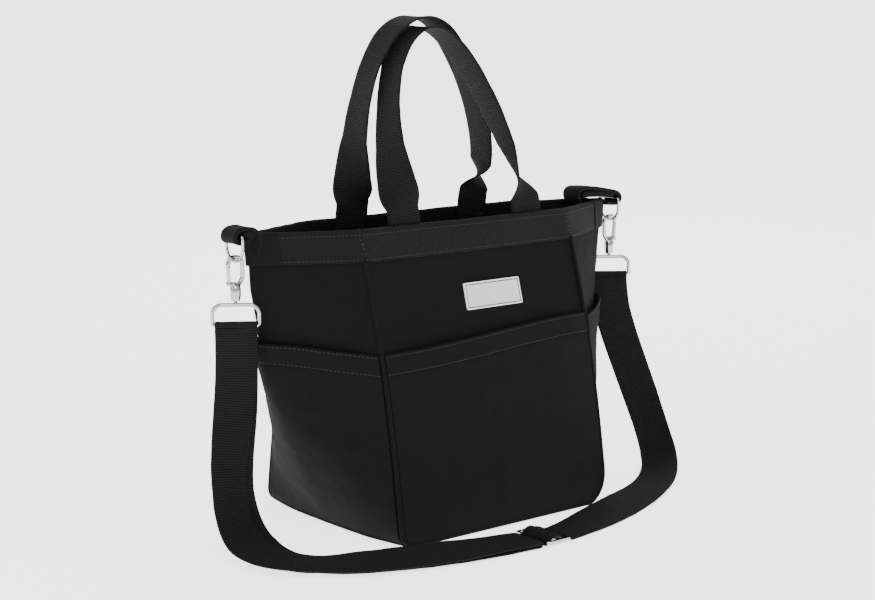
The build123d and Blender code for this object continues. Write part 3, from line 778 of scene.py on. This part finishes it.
class BAG_OT_walls(bpy.types.Operator):
    """Build the two long walls, the two folded end walls and the base"""

    bl_idname = "bag.walls"
    bl_label = "Walls and Base"

    def execute(self, context):
        middle = Vector((0, 0, 0.15))
        high = RIM - 0.003
        for name, side in SIDES:
            bm = laid(120, 130, lambda u, v: face_point(2 * u - 1, 0.0012 + (high - 0.0012) * v, side), (0.27, RIM))
            piece = shown(out_facing(bm, middle), f"{name}_wall", finish("shell twill"), "bag")
            walled(piece, 0.002)
            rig.replaces(piece, f"{name}_panel")
            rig.slot(piece, "shell_fabric")
        for name, side in ENDS:
            bm = laid(140, 130, lambda u, v: end_point(2 * u - 1, 0.0012 + (high - 0.0012) * v, side), (0.23, RIM))
            piece = shown(out_facing(bm, middle), f"{name}_end_wall", finish("shell twill"), "bag")
            walled(piece, 0.002)
            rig.replaces(piece, f"{name}_gusset")
            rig.slot(piece, "shell_fabric")

        def under(u, v):
            s = 2 * v - 1
            left, right = end_point(s, 0.0016, -1), end_point(s, 0.0016, 1)
            x = left.x + (right.x - left.x) * u
            lift = 0.003 * (ease(1 - min(u, 1 - u) / 0.03) + ease(1 - min(v, 1 - v) / 0.03))
            return Vector((x, s * HALF_BASE_DEPTH, 0.0014 + min(0.003, lift)))

        bm = laid(90, 80, under, (0.27, 0.224))
        piece = shown(out_facing(bm, middle), "bag_base", finish("shell twill"), "bag")
        walled(piece, 0.0013, 0.0)
        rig.replaces(piece, "base_panel")
        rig.slot(piece, "shell_fabric")
        return {"FINISHED"}


class BAG_OT_pockets(bpy.types.Operator):
    """Build the four outer pockets, with their hems and stitching"""

    bl_idname = "bag.pockets"
    bl_label = "Pockets"

    def execute(self, context):
        hem = context.scene.bag_fabric.hem
        middle = Vector((0, 0, 0.12))

        def proud(height, mouth, hold):
            """How far a pocket stands off, with its doubled hem and the groove under it."""
            low = mouth - height - hem
            folded = 0.0008 * ease((0.0008 - low) / 0.0014)
            groove = -0.0007 * exp(-((low - 0.0004) / 0.0012) ** 2)
            return 0.0026 + 0.0042 * (height / mouth) ** 3 * hold + folded + groove

        def face_mouth(u):
            return POCKET_TOP - 0.007 * (1 - u) - 0.003 * exp(-(1 - u) * 9) + 0.0006 * sin(3.1 * u + 0.4)

        def end_mouth(s, side):
            near = 0.014 if side < 0 else 0.006
            return POCKET_TOP - near * abs(s) ** 1.2 - 0.002 * exp(-(s / 0.2) ** 2) - 0.001

        for name, side in SIDES:

            def front(u, v, off=0.0):
                across = 1.97 * u - 0.985
                mouth = face_mouth(across)
                z = 0.0016 + (mouth - 0.0016) * v
                return face_point(across, z, side, proud(z, mouth, 1 - across ** 4) + off)

            bm = laid(130, 170, front, (0.265, 0.2))
            piece = shown(out_facing(bm, middle), f"{name}_pocket_panel", finish("pocket twill"), "bag")
            walled(piece, 0.0014)
            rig.replaces(piece, f"{name}_pocket")
            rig.slot(piece, "shell_fabric")
            runs = []
            for below in (hem - 0.0006, hem - 0.0042, 0.0025):
                run = []
                for i in range(121):
                    u = i / 120
                    v = 1 - below / (face_mouth(1.97 * u - 0.985) - 0.0016)
                    spot = front(u, v, 0.0001)
                    run.append((spot, front(u, v, 0.001) - front(u, v)))
                runs.append(run)
            thread = stitched(f"{name}_pocket_stitches", [runs[0], runs[2]], "bag", finish("thread"))
            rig.slot(thread, "shell_fabric")

        for name, side in ENDS:

            def end(u, v, off=0.0):
                across = 1.96 * u - 0.98
                mouth = end_mouth(across, side)
                z = 0.0022 + (mouth - 0.0022) * v
                return end_point(across, z, side, proud(z, mouth, 1 - across ** 4) + off)

            bm = laid(140, 150, end, (0.23, 0.2))
            piece = shown(out_facing(bm, middle), f"{name}_end_pocket", finish("pocket twill"), "bag")
            walled(piece, 0.0014)
            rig.replaces(piece, f"{name}_pocket")
            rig.slot(piece, "shell_fabric")
            runs = []
            for below in (hem - 0.0006, 0.0025):
                run = []
                for i in range(121):
                    u = i / 120
                    v = 1 - below / (end_mouth(1.96 * u - 0.98, side) - 0.0022)
                    run.append((end(u, v, 0.0001), end(u, v, 0.001) - end(u, v)))
                runs.append(run)
            thread = stitched(f"{name}_pocket_stitches", runs, "bag", finish("thread"))
            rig.slot(thread, "shell_fabric")
        return {"FINISHED"}


class BAG_OT_rim(bpy.types.Operator):
    """Fold the ribbed binding over the rim, and cover its two tips"""

    bl_idname = "bag.rim"
    bl_label = "Rim Binding"

    def execute(self, context):
        profile = [
            (0.0020, BAND_BOTTOM), (0.0021, BAND_BOTTOM + 0.010), (0.0020, BAND_BOTTOM + 0.020),
            (0.0020, RIM - 0.0030), (0.0016, RIM - 0.0008), (0.0004, RIM + 0.0004), (-0.0012, RIM + 0.0008),
            (-0.0028, RIM + 0.0004), (-0.0038, RIM - 0.0008), (-0.0042, RIM - 0.0030), (-0.0042, BAND_BOTTOM + 0.014),
            (-0.0042, BAND_BOTTOM + 0.004),
        ]
        lengths = [0.0]
        for (a, b), (c, d) in zip(profile, profile[1:]):
            lengths.append(lengths[-1] + hypot(c - a, d - b))

        def section(v):
            goal = v * lengths[-1]
            k = 0
            while k < len(profile) - 2 and lengths[k + 1] < goal:
                k += 1
            t = (goal - lengths[k]) / (lengths[k + 1] - lengths[k])
            return (profile[k][0] + (profile[k + 1][0] - profile[k][0]) * t,
                    profile[k][1] + (profile[k + 1][1] - profile[k][1]) * t)

        long = 0.56
        for name, side in SIDES:

            def band(u, v):
                out, z = section(v)
                wave = 0.0007 * noise.noise(Vector((u * 22, side * 3.0, 0.3)))
                return around(0.045 + 0.91 * u, z + wave, side, out)

            bm = laid(280, 56, band, (long, lengths[-1]))
            bm = out_facing(bm, Vector((0, side * 0.03, 0.28)))
            piece = shown(bm, f"{name}_rim_binding", finish("rim webbing"), "bag")
            walled(piece, 0.0012)
            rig.replaces(piece, f"{name}_rim_band")
            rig.slot(piece, "webbing")
            runs = []
            for z in (BAND_BOTTOM + 0.0026, RIM - 0.0042):
                run = []
                for i in range(201):
                    a = 0.047 + 0.906 * i / 200
                    spot = around(a, z, side, 0.0021)
                    run.append((spot, around(a, z, side, 0.003) - spot))
                runs.append(run)
            for a in (0.27, 0.73, 0.055, 0.945):
                for lean in (-1, 1):
                    run = []
                    for i in range(9):
                        b = a + lean * (i / 8 - 0.5) * 0.009
                        z = BAND_BOTTOM + 0.006 + 0.018 * i / 8
                        spot = around(b, z, side, 0.0023)
                        run.append((spot, around(b, z, side, 0.003) - spot))
                    runs.append(run)
            thread = stitched(f"{name}_rim_stitches", runs, "bag", finish("thread"))
            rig.slot(thread, "webbing")

        for name, side in ENDS:

            def cover(u, v):
                s = (2 * u - 1) * 0.30
                out, z = section(v)
                return end_point(s, z, side, out * 1.05 + (0.0008 if out > 0 else -0.0004))

            bm = laid(90, 40, cover, (0.05, lengths[-1]))
            bm = out_facing(bm, Vector((side * 0.2, 0, 0.28)))
            piece = shown(bm, f"{name}_tip_wrap", finish("tab cloth"), "bag")
            walled(piece, 0.0010)
            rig.replaces(piece, f"{name}_tip_cover")
            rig.slot(piece, "shell_fabric")
        return {"FINISHED"}


class BAG_OT_piping(bpy.types.Operator):
    """Lay the covered cord down the four seams and round the base"""

    bl_idname = "bag.piping"
    bl_label = "Seam Piping"

    def execute(self, context):
        radius = 0.0023
        for name, side in SIDES:
            path = []
            for end in (-1, 1):
                leg = []
                turn = foot_radius(end)
                z = BAND_BOTTOM + 0.002
                while z > turn:
                    leg.append((end * (HALF_BASE + 0.0004), side * (half_depth(z) + 0.0012), z))
                    z -= 0.006
                for i in range(10):
                    angle = pi / 2 * i / 9
                    x = HALF_BASE + 0.0004 - turn * (1 - cos(angle))
                    z = max(turn * (1 - sin(angle)), radius + 0.0002)
                    leg.append((end * x, side * (half_depth(z) + 0.0012), z))
                path += leg if end < 0 else leg[::-1]
            piece = shown(rope(path, radius), f"{name}_seam_piping", finish("piping cloth"), "bag")
            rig.replaces(piece, f"{name}_piping")
            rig.slot(piece, "piping")
        for name, side in ENDS:
            path = []
            for i in range(61):
                s = -0.985 + 1.97 * i / 60
                path.append(end_point(s, 0.0042, side, 0.0016))
            piece = shown(rope(path, 0.0018), f"{name}_foot_piping", finish("piping cloth"), "bag")
            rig.replaces(piece, f"{name}_base_piping")
            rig.slot(piece, "piping")
        return {"FINISHED"}


class BAG_OT_lining(bpy.types.Operator):
    """Hang the lining inside the bag"""

    bl_idname = "bag.lining"
    bl_label = "Lining"

    def execute(self, context):
        def place(u, v):
            z = 0.0085 + (RIM - 0.004 - 0.0085) * v
            a, side = (2 * u, -1) if u < 0.5 else (2 - 2 * u, 1)
            return around(a, z, side, -0.0031)

        bm = laid(240, 70, place, (1.1, RIM))
        bmesh.ops.remove_doubles(bm, verts=bm.verts, dist=1e-6)
        bmesh.ops.holes_fill(bm, edges=[e for e in bm.edges if e.is_boundary and e.verts[0].co.z < 0.01])
        piece = shown(out_facing(bm, Vector((0, 0, 0.16))), "bag_lining", finish("lining cloth"), "bag")
        walled(piece, 0.0007)
        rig.replaces(piece, "lining")
        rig.slot(piece, "lining")
        return {"FINISHED"}


class BAG_OT_label(bpy.types.Operator):
    """Make the blank label plate with its raised edge"""

    bl_idname = "bag.label"
    bl_label = "Label Plate"

    def execute(self, context):
        low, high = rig.box("label_plate")
        z = (low.z + high.z) / 2
        lean = atan2(half_depth(z - 0.0135) - half_depth(z + 0.0135), 0.027)
        bm = bmesh.new()
        bmesh.ops.create_cube(bm, size=1)
        bmesh.ops.scale(bm, vec=(high.x - low.x, 0.0018, 0.027), verts=bm.verts)
        bm.normal_update()
        upright = [e for e in bm.edges if abs(e.verts[0].co.y - e.verts[1].co.y) > 0.001]
        front = [f for f in bm.faces if f.normal.y < -0.9]
        bmesh.ops.inset_region(bm, faces=front, thickness=0.0021, depth=0.0)
        line = bmesh.ops.inset_region(bm, faces=front, thickness=0.00025, depth=-0.00035)["faces"]
        line += bmesh.ops.inset_region(bm, faces=front, thickness=0.0010, depth=0.0)["faces"]
        line += bmesh.ops.inset_region(bm, faces=front, thickness=0.0002, depth=0.0002)["faces"]
        for face in line:
            face.material_index = 1
        for face in front:
            face.material_index = 2
        bmesh.ops.bevel(bm, geom=upright, offset=0.0014, segments=4, profile=0.5, affect="EDGES", material=-1)
        place = (low.x / 2 + high.x / 2, face_point(0.12, z, -1, 0.0012).y, z)
        turn = Matrix.Translation(place) @ Matrix.Rotation(-lean, 4, "X")
        bmesh.ops.transform(bm, matrix=turn, verts=bm.verts)
        piece = shown(bm, "blank_label", finish("label border"), "bag", smooth=False)
        piece.data.materials.append(finish("label line"))
        piece.data.materials.append(finish("label plate satin"))
        edge = piece.modifiers.new("edge", "BEVEL")
        edge.width = 0.0002
        edge.segments = 2
        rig.replaces(piece, "label_plate")
        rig.slot(piece, "plate")
        return {"FINISHED"}


# Handles: across the bag, up from the pivot, and how far the webbing's face has turned from facing forward
FRONT_HANDLE = [
    (-76, 0, 0), (-76, 13, 0), (-79, 38, 55), (-82, 74, 84), (-78, 112, 96), (-68, 148, 98), (-50, 178, 92),
    (-23, 192, 90), (6, 180, 90), (30, 150, 92), (51, 112, 96), (69, 68, 104), (80, 32, 130), (85, 13, 180), (85, 0, 180),
]
BACK_HANDLE = [
    (-79, 0, 0), (-79, 13, 0), (-82, 38, 60), (-85, 78, 90), (-83, 118, 98), (-75, 156, 98), (-56, 188, 92),
    (-24, 202, 90), (9, 189, 90), (37, 157, 90), (61, 121, 94), (79, 82, 96), (88, 44, 98), (81, 16, 180), (81, 0, 180),
]
HANDLE_PARTING = 0.003


class BAG_OT_handles(bpy.types.Operator):
    """Bend the two webbing handles, sewn inside the mouth"""

    bl_idname = "bag.handles"
    bl_label = "Handles"

    def execute(self, context):
        web = context.scene.bag_webbing
        for (name, side), shape in zip(SIDES, (FRONT_HANDLE, BACK_HANDLE)):
            points, facings = [], []
            top = max(rise for _, rise, _ in shape) / 1000

            def tail(x, turn):
                return [((x, side * (half_depth(z) - 0.0062), z), turn) for z in (0.266, 0.277, 0.288, 0.297)]

            route = tail(shape[0][0] / 1000, 0)
            for x, rise, turn in shape:
                y = LEG_Y + (HANDLE_PARTING - LEG_Y) * rise / 1000 / top
                route.append(((x / 1000, side * y, RIM + 0.002 + rise / 1000), turn))
            route += tail(shape[-1][0] / 1000, 180)[::-1]
            for place, turn in route:
                points.append(place)
                facings.append((cos(radians(turn)), -sin(radians(turn)), 0))
            bm, _, _, _ = ribbon(points, facings, web.width, web.thickness, 0.0008, seed=side * 5.0)
            piece = shown(bm, f"{name}_carry_handle", finish("handle webbing"), None)
            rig.replaces(piece, f"{name}_handle", f"{name}_handle_left_end", f"{name}_handle_right_end")
            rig.slot(piece, "webbing")
            fold = (0, side * LEG_Y)
            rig.blend(piece, "bag", f"{name}_handle", (*fold, RIM - 0.003), (*fold, RIM + 0.006))
            runs = []
            for x in (shape[0][0] / 1000, shape[-1][0] / 1000):
                half, low, high = 0.0165, 0.269, 0.293
                corners = [(-half, low), (half, low), (half, high), (-half, high), (-half, low), (half, high)]
                corners += [(half, low), (-half, high)]
                run = []
                for (x0, z0), (x1, z1) in zip(corners, corners[1:]):
                    for i in range(8):
                        z = z0 + (z1 - z0) * i / 8
                        spot = Vector((x + x0 + (x1 - x0) * i / 8, side * (half_depth(z) - 0.0072), z))
                        run.append((spot, Vector((0, -side, 0.2))))
                runs.append(run)
            thread = stitched(f"{name}_handle_stitches", runs, "bag", finish("thread"))
            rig.slot(thread, "webbing")
        return {"FINISHED"}


class BAG_OT_tabs(bpy.types.Operator):
    """Pad the two tabs that hold the rings"""

    bl_idname = "bag.tabs"
    bl_label = "Ring Tabs"

    def execute(self, context):
        short = [
            (0.229, 0.284), (0.2265, 0.292), (0.2255, 0.299), (0.2285, 0.3050), (0.2355, 0.3085), (0.2440, 0.3090),
            (0.2505, 0.3070), (0.2535, 0.3020), (0.2520, 0.2970), (0.2475, 0.2955), (0.2420, 0.2965), (0.2370, 0.2980),
        ]
        tall = [
            (0.203, 0.286), (0.195, 0.297), (0.1885, 0.306), (0.1885, 0.3130), (0.195, 0.3168), (0.209, 0.3160), (0.224, 0.3138),
            (0.238, 0.3115), (0.2475, 0.3092), (0.2530, 0.3050), (0.2530, 0.2990), (0.2480, 0.2960), (0.240, 0.2965), (0.232, 0.2975),
        ]
        cores = {
            "left": ((0.2305, 0.3015), (0.2345, 0.3030), (0.2390, 0.3036), (0.2425, 0.3035)),
            "right": ((0.195, 0.3088), (0.205, 0.3098), (0.222, 0.3088), (0.236, 0.3070), (0.2425, 0.3058)),
        }
        for (name, side), profile in zip(ENDS, (short, tall)):
            points = [(side * x, 0, z) for x, z in profile]
            bm, _, _, _ = ribbon(points, [(0, 1, 0)] * len(points), 0.0235, 0.0036, 0.0005, step=0.0012, seed=side * 2.0)
            piece = shown(bm, f"{name}_tab_strap", finish("tab cloth"), "bag")
            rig.replaces(piece, f"{name}_ring_tab")
            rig.slot(piece, "shell_fabric")
            core = [(side * x, 0, z) for x, z in cores[name]]
            bm, _, _, _ = ribbon(core, [(0, 1, 0)] * len(core), 0.0215, 0.0062, 0.0004, step=0.0015, seed=side * 4.0)
            piece = shown(bm, f"{name}_tab_core", finish("tab cloth"), "bag")
            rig.slot(piece, "shell_fabric")
            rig.padded(piece, 0.7)
        return {"FINISHED"}


def polished(name, body):
    """A merged copy of a plated piece, smooth over its round faces and sharp at its corners."""
    bm = bmesh.new()
    bm.from_mesh(frame["nodes"][name].data)
    bmesh.ops.remove_doubles(bm, verts=bm.verts, dist=1e-6)
    piece = shown(bm, f"plated_{name}", finish("polished nickel"), body)
    piece.data.set_sharp_from_angle(angle=radians(35))
    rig.replaces(piece, name)
    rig.slot(piece, "nickel")
    return piece


class BAG_OT_hardware(bpy.types.Operator):
    """Plate the rings, hooks, gates and swivels, and bend the strap loops"""

    bl_idname = "bag.hardware"
    bl_label = "Hardware"

    def execute(self, context):
        for name, side in ENDS:
            for part, body in (("ring", "ring"), ("hook", "hook"), ("gate", "gate"), ("swivel", "loop")):
                polished(f"{name}_{part}", f"{name}_{body}")
            across = Vector((0.80, -0.60, 0))
            low, high, half = LOOP_BAR, LOOP_BAR + 0.020, 0.0222
            path = []
            for centre_x, centre_z, start, radius in (
                (half - 0.009, high - 0.009, 0, 0.009), (-half + 0.009, high - 0.009, 90, 0.009),
                (-half + 0.003, low + 0.003, 180, 0.003), (half - 0.003, low + 0.003, 270, 0.003),
            ):
                for i in range(9):
                    angle = radians(start + 90 * i / 8)
                    middle = Vector((side * RING_X, 0, centre_z + radius * sin(angle)))
                    path.append(across * (centre_x + radius * cos(angle)) + middle)
            bm = wire_loop(path, 0.0019)
            piece = shown(bm, f"{name}_strap_loop", finish("polished nickel"), f"{name}_loop")
            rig.replaces(piece, f"{name}_loop")
            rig.slot(piece, "nickel")
        for part, coat in (("slider", "polished nickel"), ("base_board", "floor board")):
            node = frame["nodes"][part]
            node.data.materials.clear()
            node.data.materials.append(finish(coat))
        return {"FINISHED"}


# Shoulder strap: a point, and the direction across the webbing, in millimetres
STRAP_LEFT = [
    ((-247, 0, 214), (0.80, -0.60, 0.0)), ((-247.5, -1, 178), (0.84, -0.54, 0.0)),
    ((-253, -4, 142), (0.93, -0.36, 0.05)), ((-261, -7, 108), (0.95, -0.10, 0.20)),
    ((-267, -10, 76), (0.93, 0.10, 0.28)), ((-270, -18, 44), (0.90, 0.25, 0.33)),
    ((-272, -38, 20), (0.82, 0.42, 0.35)), ((-271, -66, 11), (0.80, 0.55, 0.22)),
    ((-260, -94, 8), (0.75, 0.65, 0.10)), ((-237, -120, 7), (0.62, 0.78, 0.05)),
    ((-206, -140, 8), (0.52, 0.83, 0.18)), ((-164, -156, 8), (0.36, 0.90, 0.20)),
    ((-118, -168, 8), (0.22, 0.95, 0.18)), ((-72, -174, 6.5), (0.08, 0.98, 0.08)), ((-28, -174, 4.3), (0.0, 1.0, 0.0)),
]
LEFT_SPACING = [6.2, 4.8, 4.0, 4.0, 4.0, 4.0, 4.0, 4.0, 3.6, 3.6, 3.6, 3.6, 3.6, 3.6, 3.6]
LEFT_DRIFT = [0, 0, 3, 8, 12, 13, 12, 10, 8, 6, 5, 4, 2, 0, 0]
STRAP_RIGHT = [
    ((247, 0, 214), (0.80, -0.60, 0.0)), ((249, -1, 184), (0.78, -0.62, 0.0)), ((259, -4, 152), (0.72, -0.68, -0.12)),
    ((271, -8, 119), (0.68, -0.72, -0.18)), ((281, -15, 86), (0.60, -0.80, -0.15)),
    ((286, -27, 53), (0.40, -0.90, -0.05)), ((281, -46, 25), (0.25, -0.95, 0.0)), ((263, -70, 11), (0.40, -0.88, -0.05)),
    ((234, -94, 6), (0.50, -0.85, -0.06)), ((198, -117, 6), (0.45, -0.88, -0.08)),
    ((158, -137, 7), (0.30, -0.92, -0.18)), ((114, -153, 7), (0.12, -0.94, -0.26)), ((70, -165, 6), (0.0, -0.95, -0.2)),
    ((36, -172, 4), (0.0, -0.99, -0.08)), ((8, -174, 2.5), (0.0, -1.0, 0.0)),
]
RIGHT_SPACING = [6.2, 2.0] + [0] * 13


def layer(route, spacing, side, drift=None):
    """One layer of a doubled route: in front of it for -1, or behind it and drawn across it for 1."""
    spots = [Vector(point) / 1000 for point, _ in route]
    points = []
    for i, (spot, (_, facing)) in enumerate(zip(spots, route)):
        ahead = spots[min(i + 1, len(spots) - 1)] - spots[max(i - 1, 0)]
        behind = Vector(facing).cross(ahead).normalized()
        across = ahead.cross(behind).normalized()
        points.append(spot + behind * side * spacing[i] / 2000 + across * (drift[i] / 1000 if drift else 0))
    return points


class BAG_OT_strap(bpy.types.Operator):
    """Hang the shoulder strap, doubled on the left and single on the right"""

    bl_idname = "bag.strap"
    bl_label = "Shoulder Strap"

    def execute(self, context):
        web = context.scene.bag_webbing
        left_facing = [facing for _, facing in STRAP_LEFT]
        right_facing = [facing for _, facing in STRAP_RIGHT]
        across = Vector(left_facing[0])
        behind = across.cross(Vector((0, 0, -1)))
        folds = {}
        for name, side in ENDS:
            top = Vector((side * RING_X, 0, 0))
            half = 0.0031
            points = [top - behind * half + Vector((0, 0, z)) for z in (0.2120, 0.2150, 0.2192)]
            points += [top + behind * half + Vector((0, 0, z)) for z in (0.2192, 0.2150, 0.2120)]
            facings = [across] * len(points)
            bm, _, _, _ = ribbon(points, facings, web.width, web.thickness, step=0.0007, seed=side * 8.0)
            piece = shown(bm, f"{name}_strap_turn", finish("strap webbing"), f"{name}_loop")
            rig.replaces(piece, f"strap_{name}_fold")
            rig.slot(piece, "webbing")
            folds[name] = piece

        top = Vector((RING_X, 0, 0)) + behind * 0.0031
        points = [top + Vector((0, 0, 0.214)), top + Vector((0, 0, 0.206)) - behind * 0.0003,
                  top + Vector((0.0006, 0, 0.196)) - behind * 0.0006, top + Vector((0.0012, 0, 0.184)) - behind * 0.0010]
        bm, _, _, _ = ribbon(points, [across] * 4, web.width * 0.98, web.thickness, 0.0, seed=6.0)
        sewn = shown(bm, "strap_sewn_end", finish("strap webbing"), None)
        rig.replaces(sewn, "strap_right_end")
        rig.slot(sewn, "webbing")
        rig.blend(sewn, "bag", "right_loop", (0.265, 0, 0.110), (RING_X, 0, 0.208))

        slider_piece = thread_slider(web)
        at_slider = [folds["left"], slider_piece, frame["nodes"]["slider"]]
        layers = (
            ("strap_left_front", layer(STRAP_LEFT, LEFT_SPACING, -1), left_facing, "left", at_slider),
            ("strap_left_back", layer(STRAP_LEFT, LEFT_SPACING, 1, LEFT_DRIFT), left_facing, "left", []),
            ("strap_right", layer(STRAP_RIGHT, RIGHT_SPACING, -1), right_facing, "right", [folds["right"], sewn]),
        )
        for name, points, facings, end, going in layers:
            bm, line, length, _ = ribbon(points, facings, web.width, web.thickness, 0.0007, seed=len(name))
            piece = shown(bm, f"{name}_webbing", finish("strap webbing"), None)
            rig.replaces(piece, name)
            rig.slot(piece, "webbing")
            side = -1 if end == "left" else 1
            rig.blend(piece, "bag", f"{end}_loop", (side * 0.265, 0, 0.100), (side * RING_X, 0, 0.208))
            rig.cord(piece, points[0], length, web.width, "object", "limp", "loose", path=line, with_pieces=going)
        return {"FINISHED"}


def wire_loop(path, radius, sides=12):
    """A closed loop of round wire through a flat ring of points."""
    count = len(path)
    normal = (path[1] - path[0]).cross(path[count // 3] - path[0]).normalized()
    bm = bmesh.new()
    bmesh.ops.create_grid(bm, x_segments=count, y_segments=sides, size=0.5)
    for vert in bm.verts:
        i = round((vert.co.x + 0.5) * count) % count
        turn = 2 * pi * (vert.co.y + 0.5)
        ahead = (path[(i + 1) % count] - path[i - 1]).normalized()
        vert.co = path[i] + (normal * cos(turn) + normal.cross(ahead) * sin(turn)) * radius
    bmesh.ops.remove_doubles(bm, verts=bm.verts, dist=1e-6)
    bmesh.ops.recalc_face_normals(bm, faces=bm.faces)
    return bm


def thread_slider(web):
    """Webbing from between the strap's two layers, under the slider's ends and over its bar."""
    low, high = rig.box("slider")
    y = (low.y + high.y) / 2
    middle = (low.x + high.x) / 2
    points = [
        (middle + x, y, z)
        for x, z in ((-0.0440, 0.0055), (-0.0330, 0.0050), (-0.0230, 0.0044), (-0.0175, 0.0034), (-0.0150, 0.0022),
                     (-0.0110, 0.0026), (-0.0060, 0.0085), (0.0, 0.0100),
                     (0.0060, 0.0085), (0.0110, 0.0026), (0.0150, 0.0022), (0.0175, 0.0030))
    ]
    facings = [(0, 1, 0)] * len(points)
    bm, _, _, _ = ribbon(points, facings, web.width, web.thickness, step=0.0008, seed=7.0)
    piece = shown(bm, "slider_hump", finish("strap webbing"), "slider")
    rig.replaces(piece, "slider_webbing")
    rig.slot(piece, "webbing")
    return piece


class BAG_OT_stage(bpy.types.Operator):
    """Set out the floor, the camera and the lights"""

    bl_idname = "bag.stage"
    bl_label = "Stage"

    def execute(self, context):
        scene = context.scene
        stage = scene.bag_stage
        bm = bmesh.new()
        bmesh.ops.create_grid(bm, x_segments=2, y_segments=2, size=60)
        kit = Finish("studio floor")
        mottle = kit.grain(kit.place(), 1.2, 2.0)
        base = kit.mix(mottle, grey(stage.floor, 0.99), grey(stage.floor, 1.0))
        kit.set(base_color=base, roughness=0.9)
        kit.surface.inputs["Specular IOR Level"].default_value = 0.1
        kit.surface.inputs["Emission Color"].default_value = (1, 1, 1, 1)
        kit.surface.inputs["Emission Strength"].default_value = 2.2
        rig.stage(shown(bm, "floor", kit.material, None))

        camera = bpy.data.cameras.new("camera")
        camera.lens = stage.lens
        camera.sensor_width = 36
        holder = bpy.data.objects.new("camera", camera)
        scene.collection.objects.link(holder)
        holder.location = (-1.2116, -1.4672, 0.5384)
        holder.rotation_euler = (pi / 2 - stage.tilt, 0, stage.azimuth)
        scene.camera = holder

        world = bpy.data.worlds.new("studio")
        scene.world = world
        world.use_nodes = True
        world.node_tree.nodes["Background"].inputs[0].default_value = (1, 1, 1, 1)
        world.node_tree.nodes["Background"].inputs[1].default_value = 1.05
        lights = (
            ("key", (-1.3, -1.9, 2.2), 34, 1.6),
            ("fill", (-2.4, 0.6, 1.3), 14, 1.6),
            ("rim", (1.8, 1.6, 1.9), 22, 1.2),
        )
        for name, place, power, size in lights:
            lamp = bpy.data.lights.new(name, "AREA")
            lamp.energy = power
            lamp.size = size
            light = bpy.data.objects.new(name, lamp)
            light.location = place
            light.rotation_euler = (Vector((0, 0, 0.2)) - Vector(place)).to_track_quat("-Z", "Y").to_euler()
            scene.collection.objects.link(light)
        return {"FINISHED"}


class BAG_PT_panel(bpy.types.Panel):
    """The bag's parts, in the order they are built"""

    bl_label = "Tool Bag"
    bl_idname = "BAG_PT_panel"
    bl_space_type = "VIEW_3D"
    bl_region_type = "UI"
    bl_category = "Tool Bag"

    def draw(self, context):
        scene = context.scene
        for title, group in (("Fabric", scene.bag_fabric), ("Webbing", scene.bag_webbing), ("Metal", scene.bag_metal),
                             ("Stage", scene.bag_stage)):
            box = self.layout.box()
            box.label(text=title)
            for key in group.__annotations__:
                box.prop(group, key)
        for step in STEPS:
            self.layout.operator(step.bl_idname)


GROUPS = (("bag_fabric", BagFabric), ("bag_webbing", BagWebbing), ("bag_metal", BagMetal), ("bag_stage", BagStage))
STEPS = (BAG_OT_finishes, BAG_OT_stage, BAG_OT_strap, BAG_OT_walls, BAG_OT_pockets, BAG_OT_rim, BAG_OT_piping,
         BAG_OT_lining, BAG_OT_label, BAG_OT_handles, BAG_OT_tabs, BAG_OT_hardware)


def register():
    for name, group in GROUPS:
        bpy.utils.register_class(group)
        setattr(bpy.types.Scene, name, PointerProperty(type=group))
    for step in STEPS:
        bpy.utils.register_class(step)
    bpy.utils.register_class(BAG_PT_panel)


def unregister():
    bpy.utils.unregister_class(BAG_PT_panel)
    for step in reversed(STEPS):
        bpy.utils.unregister_class(step)
    for name, group in reversed(GROUPS):
        delattr(bpy.types.Scene, name)
        bpy.utils.unregister_class(group)


def main():
    register()
    bpy.ops.bag.finishes()
    bpy.ops.bag.stage()
    bpy.ops.bag.strap()
    bpy.ops.bag.walls()
    bpy.ops.bag.pockets()
    bpy.ops.bag.rim()
    bpy.ops.bag.piping()
    bpy.ops.bag.lining()
    bpy.ops.bag.label()
    bpy.ops.bag.handles()
    bpy.ops.bag.tabs()
    bpy.ops.bag.hardware()
    sizes = {"cad": [list(v) for v in FRAME_BOX], "visual": [list(v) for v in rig.bounds()]}
    with open("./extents.json", "w") as out:
        json.dump(sizes, out)


if __name__ == "__main__":
    main()
